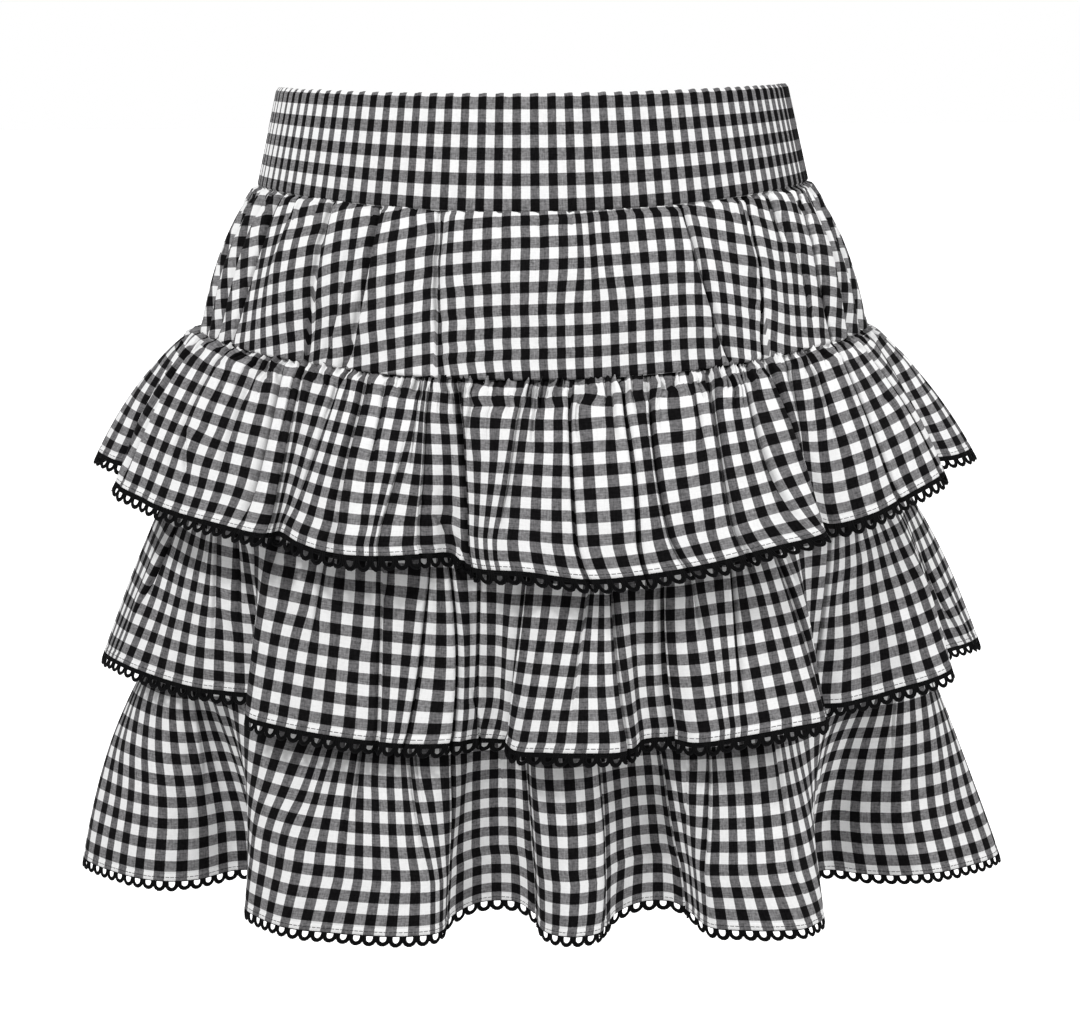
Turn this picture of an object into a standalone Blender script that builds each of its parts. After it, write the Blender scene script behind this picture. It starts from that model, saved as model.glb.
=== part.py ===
"""A tiered skort held at the waist: elastic waistband, yoke, three gathered ruffles edged with
scalloped lace, the base panels that carry them, and the inner shorts.

Metres, +Z up. The front faces -Y and +X is to the right of someone who looks at it. The origin
is on the axis of the waist, level with the top of the waistband at the side seams.
"""

import math
from collections import namedtuple

import bpy
from mathutils import Vector

MM = 0.001

# Cloth and sewing
CLOTH = 1.2 * MM          # wall of the gingham and of the jersey
BAND_CLOTH = 3.0 * MM     # doubled casing with its elastic
LACE_CLOTH = 1.0 * MM
SEAM_GAP = 0.3 * MM       # between two pieces at a seam
LAPPED = 0.9 * MM         # from a base panel to the ruffle sewn on it
BASE_GAP = 1.2 * MM       # from the yoke's slanting lower edge to the base panel
LACE_DROPS = (8.8, 8.4, 6.5)   # the lace below each hem, in millimetres

# How finely each kind of piece is divided: columns on one half, rows down it
BAND_GRID = (24, 2)
YOKE_GRID = (26, 3)
BASE_GRID = (24, 4)
SHORTS_COLUMNS = 18
CURVE_STEPS = 720         # stations kept round a hem
SPLINE_STEPS = 24         # steps from one row of folds to the next
CUT_STEPS = 6             # steps down a cut that measure its depth

# Rings of the skort, top to bottom, in millimetres. Depths are half depths, heights are taken at
# the side seams, at the centre front and at the centre back, and the power of a ring is 2 on an
# ellipse and less where its corners are cut off.
Ring = namedtuple(
    "Ring", "half_width front_depth back_depth side_height front_height back_height power")
BAND_TOP = Ring(146.5, 108, 110, 0, -4, -10, 2.0)
BAND_SEAM = Ring(159, 116, 118, -54.5, -66, -64, 2.0)
YOKE_SEAM = Ring(194.5, 133, 135, -138, -154, -150, 2.0)
RUFFLE_2_SEAM = Ring(207, 131, 134, -225, -238, -236, 1.9)
RUFFLE_3_SEAM = Ring(222, 126, 129, -323, -330, -330, 1.7)

# The hem of each ruffle seen from above, from the left side seam to the right one, in
# millimetres: a row for each ridge or trough of a fold, with its place across and forward,
# and how far the hem lifts there.
Fold = namedtuple("Fold", "across forward lift")
FOLDS_1 = [
    Fold(-257, 0, 2), Fold(-247, 20, 1), Fold(-233, 32, -1), Fold(-238, 55, -4),
    Fold(-219, 78, -5), Fold(-200, 94, -5), Fold(-172, 115, -1), Fold(-147, 131, 3),
    Fold(-139, 124, 3), Fold(-125, 138, 3), Fold(-105, 150, 4), Fold(-82, 151, 6),
    Fold(-60, 144, 8), Fold(-45, 136, 8), Fold(-33, 149, 4), Fold(-5, 157, 4),
    Fold(28, 162, 0), Fold(58, 161, 0), Fold(92, 157, 1), Fold(124, 148, 2),
    Fold(154, 137, 2), Fold(150, 114, 3), Fold(163, 106, -6), Fold(185, 102, -5),
    Fold(206, 84, -4), Fold(232, 54, -2), Fold(229, 34, 0), Fold(245, 20, -1),
    Fold(257, 0, 0),
]
FOLDS_2 = [
    Fold(-258, 2, 0), Fold(-243, 30, 0), Fold(-222, 50, -1), Fold(-196, 68, -1),
    Fold(-172, 78, 1), Fold(-155, 86, 3), Fold(-161, 108, 0), Fold(-141, 124, 1),
    Fold(-106, 138, 2), Fold(-72, 143, 2), Fold(-47, 141, 3), Fold(-34, 134, 4),
    Fold(-19, 135, 4), Fold(-11, 150, 2), Fold(5, 158, 3), Fold(26, 161, 3),
    Fold(47, 153, 1), Fold(57, 139, 3), Fold(72, 138, 3), Fold(86, 148, 2),
    Fold(112, 149, 4), Fold(140, 140, 4), Fold(159, 124, 1), Fold(154, 102, 1),
    Fold(174, 90, -3), Fold(202, 79, -2), Fold(238, 58, 1), Fold(237, 32, 3),
    Fold(256, 8, 2), Fold(265, -10, 2),
]
FOLDS_3 = [
    Fold(-276, 0, 0), Fold(-248, 38, 1), Fold(-222, 52, 1), Fold(-202, 50, 1),
    Fold(-180, 36, 2), Fold(-160, 42, 3), Fold(-166, 92, 0), Fold(-145, 127, 0),
    Fold(-112, 140, 0), Fold(-72, 146, 0), Fold(-55, 139, 0), Fold(-49, 125, 4),
    Fold(-33, 116, 9), Fold(-12, 116, 9), Fold(-2, 124, 5), Fold(4, 139, 0),
    Fold(19, 149, 0), Fold(34, 140, 0), Fold(42, 124, 4), Fold(57, 115, 8),
    Fold(76, 115, 8), Fold(86, 123, 4), Fold(95, 134, 0), Fold(116, 141, 0),
    Fold(142, 137, -1), Fold(159, 118, -2), Fold(155, 52, 0), Fold(172, 38, 0),
    Fold(196, 44, -1), Fold(222, 46, -1), Fold(250, 32, -2), Fold(280, -2, -3),
]
BACK_FORWARD = 1.04       # the folds behind stand a little deeper than those in front

# A ruffle: its top ring, how far its middle swells past a straight fall, its hem heights at the
# sides and at the centres, its folds, how far its left and right sides belly out in
# millimetres, how early down they do so, and its columns and rows on one half.
Ruffle = namedtuple(
    "Ruffle", "top swell side_hem centre_hem folds left_belly right_belly early columns rows")
RUFFLES = [
    Ruffle(YOKE_SEAM, 0.40, -212, -257, FOLDS_1, 2.0, -2.0, 0.45, 40, 3),
    Ruffle(RUFFLE_2_SEAM, 0.20, -331, -355, FOLDS_2, 0.0, 2.0, 0.9, 40, 3),
    Ruffle(RUFFLE_3_SEAM, 0.55, -459, -459, FOLDS_3, 0.0, -6.0, 1.0, 48, 3),
]
BELLY_POWER = 6           # how near the side seams a ruffle's belly keeps
HEM_BLEND = 2.2           # power of the cosine that blends side and centre heights of a hem
EASE = 0.018              # part of the hem over which the gathers above are evened out
EASE_PASSES = 4

# Soft folds of the yoke: degrees round from the centre front, depth in millimetres (ridges
# above zero), half breadth in degrees at the top and at the bottom, and the lean in degrees.
YokeFold = namedtuple("YokeFold", "turn depth top_breadth bottom_breadth lean")
YOKE_FOLDS = [
    YokeFold(-60, -3.5, 6, 9, 6), YokeFold(-47, 2.5, 5, 8, 2), YokeFold(-36, -3.0, 4, 6, 6),
    YokeFold(-29, 2.5, 4, 5, 2), YokeFold(-18, -2.0, 3, 3, 0), YokeFold(38, -2.0, 4, 5, -10),
    YokeFold(52, -3.5, 4, 6, -2), YokeFold(66, 3.0, 6, 9, -4), YokeFold(120, -3.5, 6, 9, 3),
    YokeFold(150, 2.5, 6, 8, -3), YokeFold(178, -2.5, 5, 6, 0), YokeFold(-150, -3.0, 6, 8, 3),
    YokeFold(-118, 3.0, 6, 9, 0),
]
YOKE_FOLD_START = 0.12    # part of half a wave that a fold has run through at the top
YOKE_FOLD_REACH = 0.8     # part of half a wave that it runs through below that
YOKE_SWELL = 0.62

# Shorts: rings of one panel, top to bottom, in millimetres: how far its middle lies from the
# centre of the shorts, its half sizes, its height at the side and how much lower its centre is.
# Above the crotch a ring ends at the centre seam, and below it closes round the leg.
LegRing = namedtuple("LegRing", "middle half_width half_depth height dip")
LEG_RINGS = [
    LegRing(0, 156, 112, -57, 11), LegRing(0, 163, 114, -110, 8), LegRing(0, 171, 116, -165, 4),
    LegRing(16, 157, 113, -208, 0), LegRing(44, 130, 108, -240, 0), LegRing(74, 99, 102, -262, 0),
    LegRing(84, 85, 99, -276, 0), LegRing(87, 82, 96, -332, 0),
]

GINGHAM = ("gingham", (0.55, 0.54, 0.55, 1.0), 0.85)
LACE = ("black_lace", (0.012, 0.012, 0.013, 1.0), 0.75)
JERSEY = ("black_jersey", (0.02, 0.02, 0.022, 1.0), 0.8)


def material(finish):
    """One Principled material of a finish, as its name, colour and roughness."""
    name, colour, roughness = finish
    made = bpy.data.materials.new(name)
    made.use_nodes = True
    shader = made.node_tree.nodes["Principled BSDF"]
    shader.inputs["Base Color"].default_value = colour
    shader.inputs["Roughness"].default_value = roughness
    shader.inputs["Metallic"].default_value = 0.0
    made.diffuse_color = colour
    return made


def ring_point(ring, turn, inset=0.0):
    """The point of a ring at a turn from the centre front, moved in by inset metres."""
    across = math.copysign(abs(math.sin(turn)) ** (2 / ring.power), math.sin(turn))
    forward = math.copysign(abs(math.cos(turn)) ** (2 / ring.power), math.cos(turn))
    depth = ring.front_depth if forward > 0 else ring.back_depth
    middle = ring.front_height if forward > 0 else ring.back_height
    height = ring.side_height + (middle - ring.side_height) * math.cos(turn) ** 2
    return Vector(((ring.half_width * MM - inset) * across,
                   -(depth * MM - inset) * forward, height * MM))


def smooth_loop(rows):
    """Stations round a closed curve through rows of three numbers, evenly spaced along it."""
    points = [Vector(row) for row in rows]
    count = len(points)
    dense = []
    for index in range(count):
        near = [points[(index + step) % count] for step in (-1, 0, 1, 2)]
        spans = [math.sqrt((near[k + 1] - near[k]).length) for k in range(3)]
        start = ((near[1] - near[0]) / spans[0] - (near[2] - near[0]) / (spans[0] + spans[1])
                 + (near[2] - near[1]) / spans[1]) * spans[1]
        end = ((near[2] - near[1]) / spans[1] - (near[3] - near[1]) / (spans[1] + spans[2])
               + (near[3] - near[2]) / spans[2]) * spans[1]
        for step in range(SPLINE_STEPS):
            t = step / SPLINE_STEPS
            dense.append(near[1] * (2 * t**3 - 3 * t**2 + 1) + start * (t**3 - 2 * t**2 + t)
                         + near[2] * (3 * t**2 - 2 * t**3) + end * (t**3 - t**2))
    dense.append(dense[0])
    lengths = [0.0]
    for index in range(1, len(dense)):
        lengths.append(lengths[-1] + (dense[index] - dense[index - 1]).length)
    stations = []
    cursor = 0
    for step in range(CURVE_STEPS):
        wanted = lengths[-1] * step / CURVE_STEPS
        while lengths[cursor + 1] < wanted:
            cursor += 1
        part = (wanted - lengths[cursor]) / (lengths[cursor + 1] - lengths[cursor])
        stations.append(dense[cursor].lerp(dense[cursor + 1], part))
    return stations, lengths[-1] * MM


def steady_turns(stations, ring):
    """The turn of each station of a hem, evened out so that it never runs backwards."""
    turns = []
    for point in stations:
        turn = math.atan2(point.x / ring.half_width, point.y / ring.front_depth)
        if turns:
            turn += 2 * math.pi * round((turns[-1] - turn) / (2 * math.pi))
        turns.append(turn)
    turns = [turn + 2 * math.pi * lap for lap in (-1, 0, 1) for turn in turns]
    reach = int(EASE * CURVE_STEPS)
    for _ in range(EASE_PASSES):
        sums = [0.0]
        for turn in turns:
            sums.append(sums[-1] + turn)
        turns = [(sums[min(k + reach + 1, len(turns))] - sums[max(k - reach, 0)])
                 / (min(k + reach + 1, len(turns)) - max(k - reach, 0)) for k in range(len(turns))]
    middle = turns[CURVE_STEPS:2 * CURVE_STEPS]
    for index in range(1, len(middle)):
        middle[index] = max(middle[index], middle[index - 1])
    return middle


class RuffleShape:
    """The cloth of one ruffle, as a surface over its cut: along its length and down its depth."""

    def __init__(self, ruffle, lapped):
        self.ruffle = ruffle
        self.inset = -LAPPED - CLOTH if lapped else 0.0
        front = [(fold.across, fold.forward, fold.lift) for fold in ruffle.folds]
        back = [(-across, -forward * BACK_FORWARD, lift) for across, forward, lift in front[1:-1]]
        self.hem, self.length = smooth_loop(front + back)
        self.turns = steady_turns(self.hem, ruffle.top)

    def point(self, along, down):
        """The point at a part along the cut, 0 to 1, and a part down it, past 1 for the lace."""
        place = (along % 1.0) * CURVE_STEPS
        index = int(place) % CURVE_STEPS
        after = (index + 1) % CURVE_STEPS
        part = place - int(place)
        flat = self.hem[index].lerp(self.hem[after], part)
        next_turn = self.turns[after] + (2 * math.pi if after == 0 else 0.0)
        turn = self.turns[index] + (next_turn - self.turns[index]) * part
        top = ring_point(self.ruffle.top, turn, self.inset)
        top.z -= SEAM_GAP
        facing = math.atan2(flat.x / self.ruffle.top.half_width,
                            flat.y / self.ruffle.top.front_depth)
        blend = abs(math.cos(facing)) ** HEM_BLEND
        height = self.ruffle.side_hem + (self.ruffle.centre_hem - self.ruffle.side_hem) * blend
        hem = Vector((flat.x * MM, -flat.y * MM, (height + flat.z) * MM))
        spread = down + self.ruffle.swell * down * (1 - down) if down < 1 else down
        point = top.lerp(hem, down)
        point.x = top.x + (hem.x - top.x) * spread
        point.y = top.y + (hem.y - top.y) * spread
        belly = self.ruffle.right_belly if flat.x > 0 else -self.ruffle.left_belly
        bellied = math.sin(math.pi * min(max(down, 0.0), 1.0) ** self.ruffle.early)
        point.x += belly * MM * abs(math.sin(facing)) ** BELLY_POWER * bellied
        return point

    def depth(self, along):
        """The depth of the cut at a part along it."""
        steps = [self.point(along, k / CUT_STEPS) for k in range(CUT_STEPS + 1)]
        return sum((steps[k + 1] - steps[k]).length for k in range(CUT_STEPS))


def wall(name, surface, columns, rows, thickness, finish):
    """A cloth wall: a grid of points of surface(u, v) outside and the same moved in by its
    thickness. u runs to the right seen from outside, and v runs down."""
    wide = columns + 1
    outer = []
    inside = []
    for j in range(rows + 1):
        for i in range(wide):
            u = i / columns
            v = j / rows
            along = surface(u + 0.5 / columns, v) - surface(u - 0.5 / columns, v)
            down = surface(u, min(v + 0.5 / rows, 1)) - surface(u, max(v - 0.5 / rows, 0))
            point = surface(u, v)
            outer.append(point)
            inside.append(point - along.cross(-down).normalized() * thickness)
    points = outer + inside
    inner = len(outer)
    faces = []
    for j in range(rows):
        for i in range(columns):
            a = j * wide + i
            b = a + 1
            c = b + wide
            d = a + wide
            faces += [(a, c, b), (a, d, c)]
            faces += [(a + inner, b + inner, c + inner), (a + inner, c + inner, d + inner)]
    border = [(i, i + 1) for i in range(columns)]
    border += [(rows * wide + i + 1, rows * wide + i) for i in range(columns)]
    border += [((j + 1) * wide, j * wide) for j in range(rows)]
    border += [(j * wide + columns, (j + 1) * wide + columns) for j in range(rows)]
    for a, b in border:
        faces += [(a, b, b + inner), (a, b + inner, a + inner)]
    mesh = bpy.data.meshes.new(name)
    mesh.from_pydata([tuple(point) for point in points], [], faces)
    mesh.materials.append(finish)
    mesh.validate()
    made = bpy.data.objects.new(name, mesh)
    bpy.context.scene.collection.objects.link(made)
    return made


def between(start, end, ring_length):
    """A function from 0 to 1 onto start to end of a full round, half a seam gap in at both."""
    trim = SEAM_GAP / 2 / ring_length
    return lambda u: start + trim + (end - start - 2 * trim) * u


def ring_surface(top, bottom, swell, half, inset=0.0, gap=SEAM_GAP, folds=()):
    """The surface between two rings on the front or the back half."""
    start = -0.25 if half == "front" else 0.25
    span = between(start, start + 0.5, 2 * math.pi * top.half_width * MM)

    def surface(u, v):
        turn = span(u) * 2 * math.pi
        upper = ring_point(top, turn, inset)
        lower = ring_point(bottom, turn, inset)
        upper.z -= gap
        spread = v + swell * v * (1 - v)
        point = upper.lerp(lower, v)
        point.x = upper.x + (lower.x - upper.x) * spread
        point.y = upper.y + (lower.y - upper.y) * spread
        outward = Vector((point.x, point.y, 0)).normalized()
        for fold in folds:
            centre = math.radians(fold.turn + fold.lean * (0.5 - v))
            breadth = math.radians(fold.top_breadth + (fold.bottom_breadth - fold.top_breadth) * v)
            away = (turn - centre + math.pi) % (2 * math.pi) - math.pi
            wave = math.sin(math.pi * min(YOKE_FOLD_START + YOKE_FOLD_REACH * v, 1))
            swing = math.exp(-(away / breadth) ** 2) * wave
            point += outward * (fold.depth * MM * swing)
        return point

    return surface


def build_band(finish):
    """The waistband: a doubled casing in a front and a back, sewn at the sides."""
    for half in ("front", "back"):
        surface = ring_surface(BAND_TOP, BAND_SEAM, 0.0, half)
        wall("waistband_" + half, surface, *BAND_GRID, BAND_CLOTH, finish)


def build_yoke(finish):
    """The smooth yoke between the waistband and the first ruffle."""
    for half in ("front", "back"):
        surface = ring_surface(BAND_SEAM, YOKE_SEAM, YOKE_SWELL, half, folds=YOKE_FOLDS)
        wall("yoke_" + half, surface, *YOKE_GRID, CLOTH, finish)


def build_base(finish):
    """The base panels under the ruffles, from the yoke's seam to the third ruffle's seam."""
    for half in ("front", "back"):
        inset = CLOTH + SEAM_GAP
        upper = ring_surface(YOKE_SEAM, RUFFLE_2_SEAM, 0.0, half, inset, BASE_GAP)
        lower = ring_surface(RUFFLE_2_SEAM, RUFFLE_3_SEAM, 0.0, half, inset, 0.0)

        def surface(u, v, upper=upper, lower=lower):
            return upper(u, v * 2) if v < 0.5 else lower(u, v * 2 - 1)

        wall("base_" + half, surface, *BASE_GRID, CLOTH, finish)


def build_ruffles(gingham, lace):
    """The three ruffles in a front and a back each, and the lace along each hem."""
    for number, ruffle in enumerate(RUFFLES, 1):
        shape = RuffleShape(ruffle, number == 2)
        for half, start in (("front", 0.0), ("back", 0.5)):
            span = between(start, start + 0.5, shape.length)
            wall(f"ruffle_{number}_{half}", lambda u, v: shape.point(span(u), v),
                 ruffle.columns, ruffle.rows, CLOTH, gingham)
        span = between(0.0, 1.0, shape.length)
        depth = shape.depth(0.25)
        drop = LACE_DROPS[number - 1] * MM

        def edging(u, v):
            return shape.point(span(u), 1 + (SEAM_GAP + drop * v) / depth)

        wall(f"lace_{number}", edging, ruffle.columns * 2, 1, LACE_CLOTH, lace)


def build_shorts(finish):
    """The inner shorts: one panel for each leg, closed round it by its inseam."""
    for side, sign in (("left", -1), ("right", 1)):
        heights = len(LEG_RINGS) - 1

        def surface(u, v, sign=sign):
            place = min(max(v, 0.0) * heights, heights - 1e-6)
            upper = LEG_RINGS[int(place)]
            lower = LEG_RINGS[int(place) + 1]
            part = place - int(place)
            middle, half_width, half_depth, height, dip = (
                upper[k] + (lower[k] - upper[k]) * part for k in range(5))
            reach = math.acos(max(-middle / half_width, -1.0))
            turn = (reach - SEAM_GAP / MM / half_width) * (2 * u - 1)
            across = sign * (middle + half_width * math.cos(turn)) * MM
            forward = -sign * half_depth * math.sin(turn) * MM
            return Vector((across, -forward, (height - dip * math.sin(turn) ** 2) * MM))

        wall("shorts_" + side, surface, SHORTS_COLUMNS, heights, CLOTH, finish)


def main():
    """Clear the scene and build every piece."""
    for thing in list(bpy.data.objects):
        bpy.data.objects.remove(thing)
    gingham = material(GINGHAM)
    lace = material(LACE)
    jersey = material(JERSEY)
    build_band(gingham)
    build_yoke(gingham)
    build_base(gingham)
    build_ruffles(gingham, lace)
    build_shorts(jersey)


main()
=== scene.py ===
"""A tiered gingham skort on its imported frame: cloth, lace, stitching, light and camera.

Metres, +Z up. The front faces -Y and +X is to the right of someone who looks at it. The origin
is on the axis of the waist, level with the top of the waistband at the side seams.
"""

import math
import random
from collections import namedtuple

import bpy
import numpy as np
from mathutils import Matrix, Vector


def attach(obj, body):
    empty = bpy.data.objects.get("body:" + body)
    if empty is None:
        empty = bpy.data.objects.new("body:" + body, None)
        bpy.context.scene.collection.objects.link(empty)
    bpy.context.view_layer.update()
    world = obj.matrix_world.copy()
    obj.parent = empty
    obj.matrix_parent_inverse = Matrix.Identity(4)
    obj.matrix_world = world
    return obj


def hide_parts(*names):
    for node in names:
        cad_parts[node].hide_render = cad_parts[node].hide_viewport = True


bl_info = {
    "name": "Tiered gingham skort",
    "version": (1, 0, 0),
    "blender": (4, 5, 0),
    "location": "3D View > Sidebar > Skort",
    "description": "Cloth, lace, stitching, light and camera for a tiered gingham skort",
    "category": "Object",
}

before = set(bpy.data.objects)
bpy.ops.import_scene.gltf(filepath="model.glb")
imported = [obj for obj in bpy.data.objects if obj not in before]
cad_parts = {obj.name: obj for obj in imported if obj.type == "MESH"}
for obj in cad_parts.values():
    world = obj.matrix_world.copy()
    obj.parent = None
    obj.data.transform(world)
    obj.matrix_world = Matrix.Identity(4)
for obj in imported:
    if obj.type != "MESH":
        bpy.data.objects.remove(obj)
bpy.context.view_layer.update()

MM = 0.001
SEAM_GAP = 0.3 * MM       # between two pieces at a seam
LAPPED = 2.1 * MM         # how far the second ruffle stands outside its seam ring
TURN_IN = 1.5 * MM        # how far the base panels lie inside the seam rings
CURVE_STEPS = 1440        # stations kept round a hem
BODY = "root"
HALVES = (("front", 0.0), ("back", 0.5))    # and the part of the round at which each starts

# Rings of the skort, top to bottom, in millimetres. Depths are half depths, heights are taken at
# the side seams, at the centre front and at the centre back, and the power of a ring is 2 on an
# ellipse and less where its corners are cut off.
Ring = namedtuple(
    "Ring", "half_width front_depth back_depth side_height front_height back_height power")
BAND_TOP = Ring(146.5, 108, 110, 0, -4, -10, 2.0)
BAND_SEAM = Ring(159, 116, 118, -54.5, -66, -64, 2.0)
YOKE_SEAM = Ring(194.5, 133, 135, -138, -154, -150, 2.0)
RUFFLE_2_SEAM = Ring(207, 131, 134, -225, -238, -236, 1.9)
RUFFLE_3_SEAM = Ring(222, 126, 129, -323, -330, -330, 1.7)

# The hem of each ruffle seen from above, from the left side seam to the right one, in
# millimetres: a row for each ridge or trough of a fold, with its place across and forward,
# and how far the hem lifts there.
Fold = namedtuple("Fold", "across forward lift")
FOLDS_1 = [Fold(*row) for row in (
    (-257, 0, 2), (-247, 20, 1), (-233, 32, -1), (-238, 55, -4), (-219, 78, -5), (-200, 94, -5),
    (-172, 115, -1), (-147, 131, 3), (-139, 124, 3), (-125, 138, 3), (-105, 150, 4), (-82, 151, 6),
    (-60, 144, 8), (-45, 136, 8), (-33, 149, 4), (-5, 157, 4), (28, 162, 0), (58, 161, 0),
    (92, 157, 1), (124, 148, 2), (154, 137, 2), (150, 114, 3), (163, 106, -6), (185, 102, -5),
    (206, 84, -4), (232, 54, -2), (229, 34, 0), (245, 20, -1), (257, 0, 0),
)]
FOLDS_2 = [Fold(*row) for row in (
    (-258, 2, 0), (-243, 30, 0), (-222, 50, -1), (-196, 68, -1), (-172, 78, 1), (-155, 86, 3),
    (-161, 108, 0), (-141, 124, 1), (-106, 138, 2), (-72, 143, 2), (-47, 141, 3), (-34, 134, 4),
    (-19, 135, 4), (-11, 150, 2), (5, 158, 3), (26, 161, 3), (47, 153, 1), (57, 139, 3),
    (72, 138, 3), (86, 148, 2), (112, 149, 4), (140, 140, 4), (159, 124, 1), (154, 102, 1),
    (174, 90, -3), (202, 79, -2), (238, 58, 1), (237, 32, 3), (256, 8, 2), (265, -10, 2),
)]
FOLDS_3 = [Fold(*row) for row in (
    (-276, 0, 0), (-248, 38, 1), (-222, 52, 1), (-202, 50, 1), (-180, 36, 2), (-160, 42, 3),
    (-166, 92, 0), (-145, 127, 0), (-112, 140, 0), (-72, 146, 0), (-55, 139, 0), (-49, 125, 4),
    (-33, 116, 9), (-12, 116, 9), (-2, 124, 5), (4, 139, 0), (19, 149, 0), (34, 140, 0),
    (42, 124, 4), (57, 115, 8), (76, 115, 8), (86, 123, 4), (95, 134, 0), (116, 141, 0),
    (142, 137, -1), (159, 118, -2), (155, 52, 0), (172, 38, 0), (196, 44, -1), (222, 46, -1),
    (250, 32, -2), (280, -2, -3),
)]
BACK_FORWARD = 1.04       # the folds behind stand a little deeper than those in front
HEM_BLEND = 2.2           # power of the cosine that blends side and centre heights of a hem
EASE = 24                 # stations each way over which the gathers above a hem are evened out
EASE_PASSES = 4

# A ruffle: its top ring, its swell past a straight fall, its hem heights at the sides and at
# the centres, its folds, how far it stands outside its ring, how far its left and right sides
# belly out in millimetres, the power that says how early down they do so (less is earlier),
# the depth of its cut, how many times their own size its checks are (wide and tall in the
# middle, wide and tall at the sides), and the part of them that its creases hide near the seam.
Ruffle = namedtuple(
    "Ruffle", "top swell side_hem centre_hem folds outside left_belly right_belly early "
    "cut_depth checks tucked")
CheckSizes = namedtuple("CheckSizes", "wide tall side_wide side_tall")
RUFFLES = [
    Ruffle(YOKE_SEAM, 0.40, -212, -257, FOLDS_1, 0.0, 2.0, -2.0, 0.45, 107,
           CheckSizes(1.10, 0.97, 1.36, 1.12), 0.12),
    Ruffle(RUFFLE_2_SEAM, 0.20, -331, -355, FOLDS_2, LAPPED, 0.0, 2.0, 0.9, 118,
           CheckSizes(1.00, 0.97, 1.30, 1.10), 0.15),
    Ruffle(RUFFLE_3_SEAM, 0.55, -459, -459, FOLDS_3, 0.0, 0.0, -6.0, 1.0, 141,
           CheckSizes(1.18, 1.06, 1.32, 1.06), 0.15),
]
YOKE_CHECKS = CheckSizes(0.88, 0.96, 1.35, 1.02)
SIDE_POWER = 1.6
BELLY_POWER = 6           # how near the side seams a ruffle's belly keeps

# Soft folds of the yoke: degrees round from the centre front, depth in millimetres (ridges
# above zero), half breadth in degrees at the top and at the bottom, and the lean in degrees.
YokeFold = namedtuple("YokeFold", "turn depth top_breadth bottom_breadth lean")
YOKE_FOLDS = [YokeFold(*row) for row in (
    (-60, -3.5, 6, 9, 6), (-47, 2.5, 5, 8, 2), (-36, -3.0, 4, 6, 6), (-29, 2.5, 4, 5, 2),
    (-18, -2.0, 3, 3, 0), (38, -2.0, 4, 5, -10), (52, -3.5, 4, 6, -2), (66, 3.0, 6, 9, -4),
    (120, -3.5, 6, 9, 3), (150, 2.5, 6, 8, -3), (178, -2.5, 5, 6, 0), (-150, -3.0, 6, 8, 3),
    (-118, 3.0, 6, 9, 0),
)]
YOKE_FOLD_START = 0.12    # part of half a wave that a fold has run through at the top
YOKE_FOLD_REACH = 0.8     # part of half a wave that it runs through below that
YOKE_SWELL = 0.62         # how far its middle swells past a straight fall

# Shorts: rings of one panel, top to bottom, in millimetres: how far its middle lies from the
# centre of the shorts, its half sizes, its height at the side and how much lower its centre is.
LegRing = namedtuple("LegRing", "middle half_width half_depth height dip")
LEG_RINGS = [LegRing(*row) for row in (
    (0, 156, 112, -57, 11), (0, 163, 114, -110, 8), (0, 171, 116, -165, 4),
    (16, 157, 113, -208, 0), (44, 130, 108, -240, 0), (74, 99, 102, -262, 0),
    (84, 85, 99, -276, 0), (87, 82, 96, -332, 0),
)]

# A crease: its places along the cut of a half at the top, the middle and the bottom, its depth
# (ridges above zero), its half breadths before and after its line, all in millimetres, and the
# parts down the cut between which it shows: without them it runs past both edges.
FROM_TOP = -0.1
PAST_HEM = 1.5
Crease = namedtuple("Crease", "top middle bottom depth before after start end",
                    defaults=(FROM_TOP, PAST_HEM))

# The creases of the front of the yoke and of the three ruffles, from left to right, which the
# columns of checks follow, and the pinches that cross those columns.
YOKE_CREASES = [Crease(*row) for row in (
    (14, 14, 14, -3.0, 12.0, 4.0), (33, 34, 32, -3.4, 12.0, 4.0), (52, 50, 52, -2.6, 12.0, 4.0),
    (70, 72, 70, -3.2, 12.0, 4.0), (88, 94, 90, -4.0, 4.6, 4.6),
    (150, 159, 163, -2.6, 3.0, 6.0, -0.1, 1.4), (178, 178, 175, -1.6, 5.0, 3.0, 0.1, 1.3),
    (188, 194.5, 186, -3.6, 4.0, 5.0), (231, 237.5, 246, -3.0, 3.5, 6.0),
    (326.5, 325.5, 327, -1.3, 2.0, 2.0, -0.1, 0.65), (389, 391, 402, -2.8, 3.2, 3.2),
    (445, 431, 419, -3.2, 4.0, 4.0), (470, 461, 455, -2.0, 3.0, 3.0, -0.1, 0.5),
    (480, 472, 468, -2.0, 3.0, 3.0, 0.1, 0.95), (512, 485, 484, -4.0, 4.6, 4.6),
    (528, 508, 506, -2.6, 4.0, 12.0), (544, 530, 528, -3.4, 4.0, 12.0),
    (560, 550, 550, -3.0, 4.0, 12.0), (572, 568, 568, -2.6, 4.0, 12.0),
)]
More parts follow.
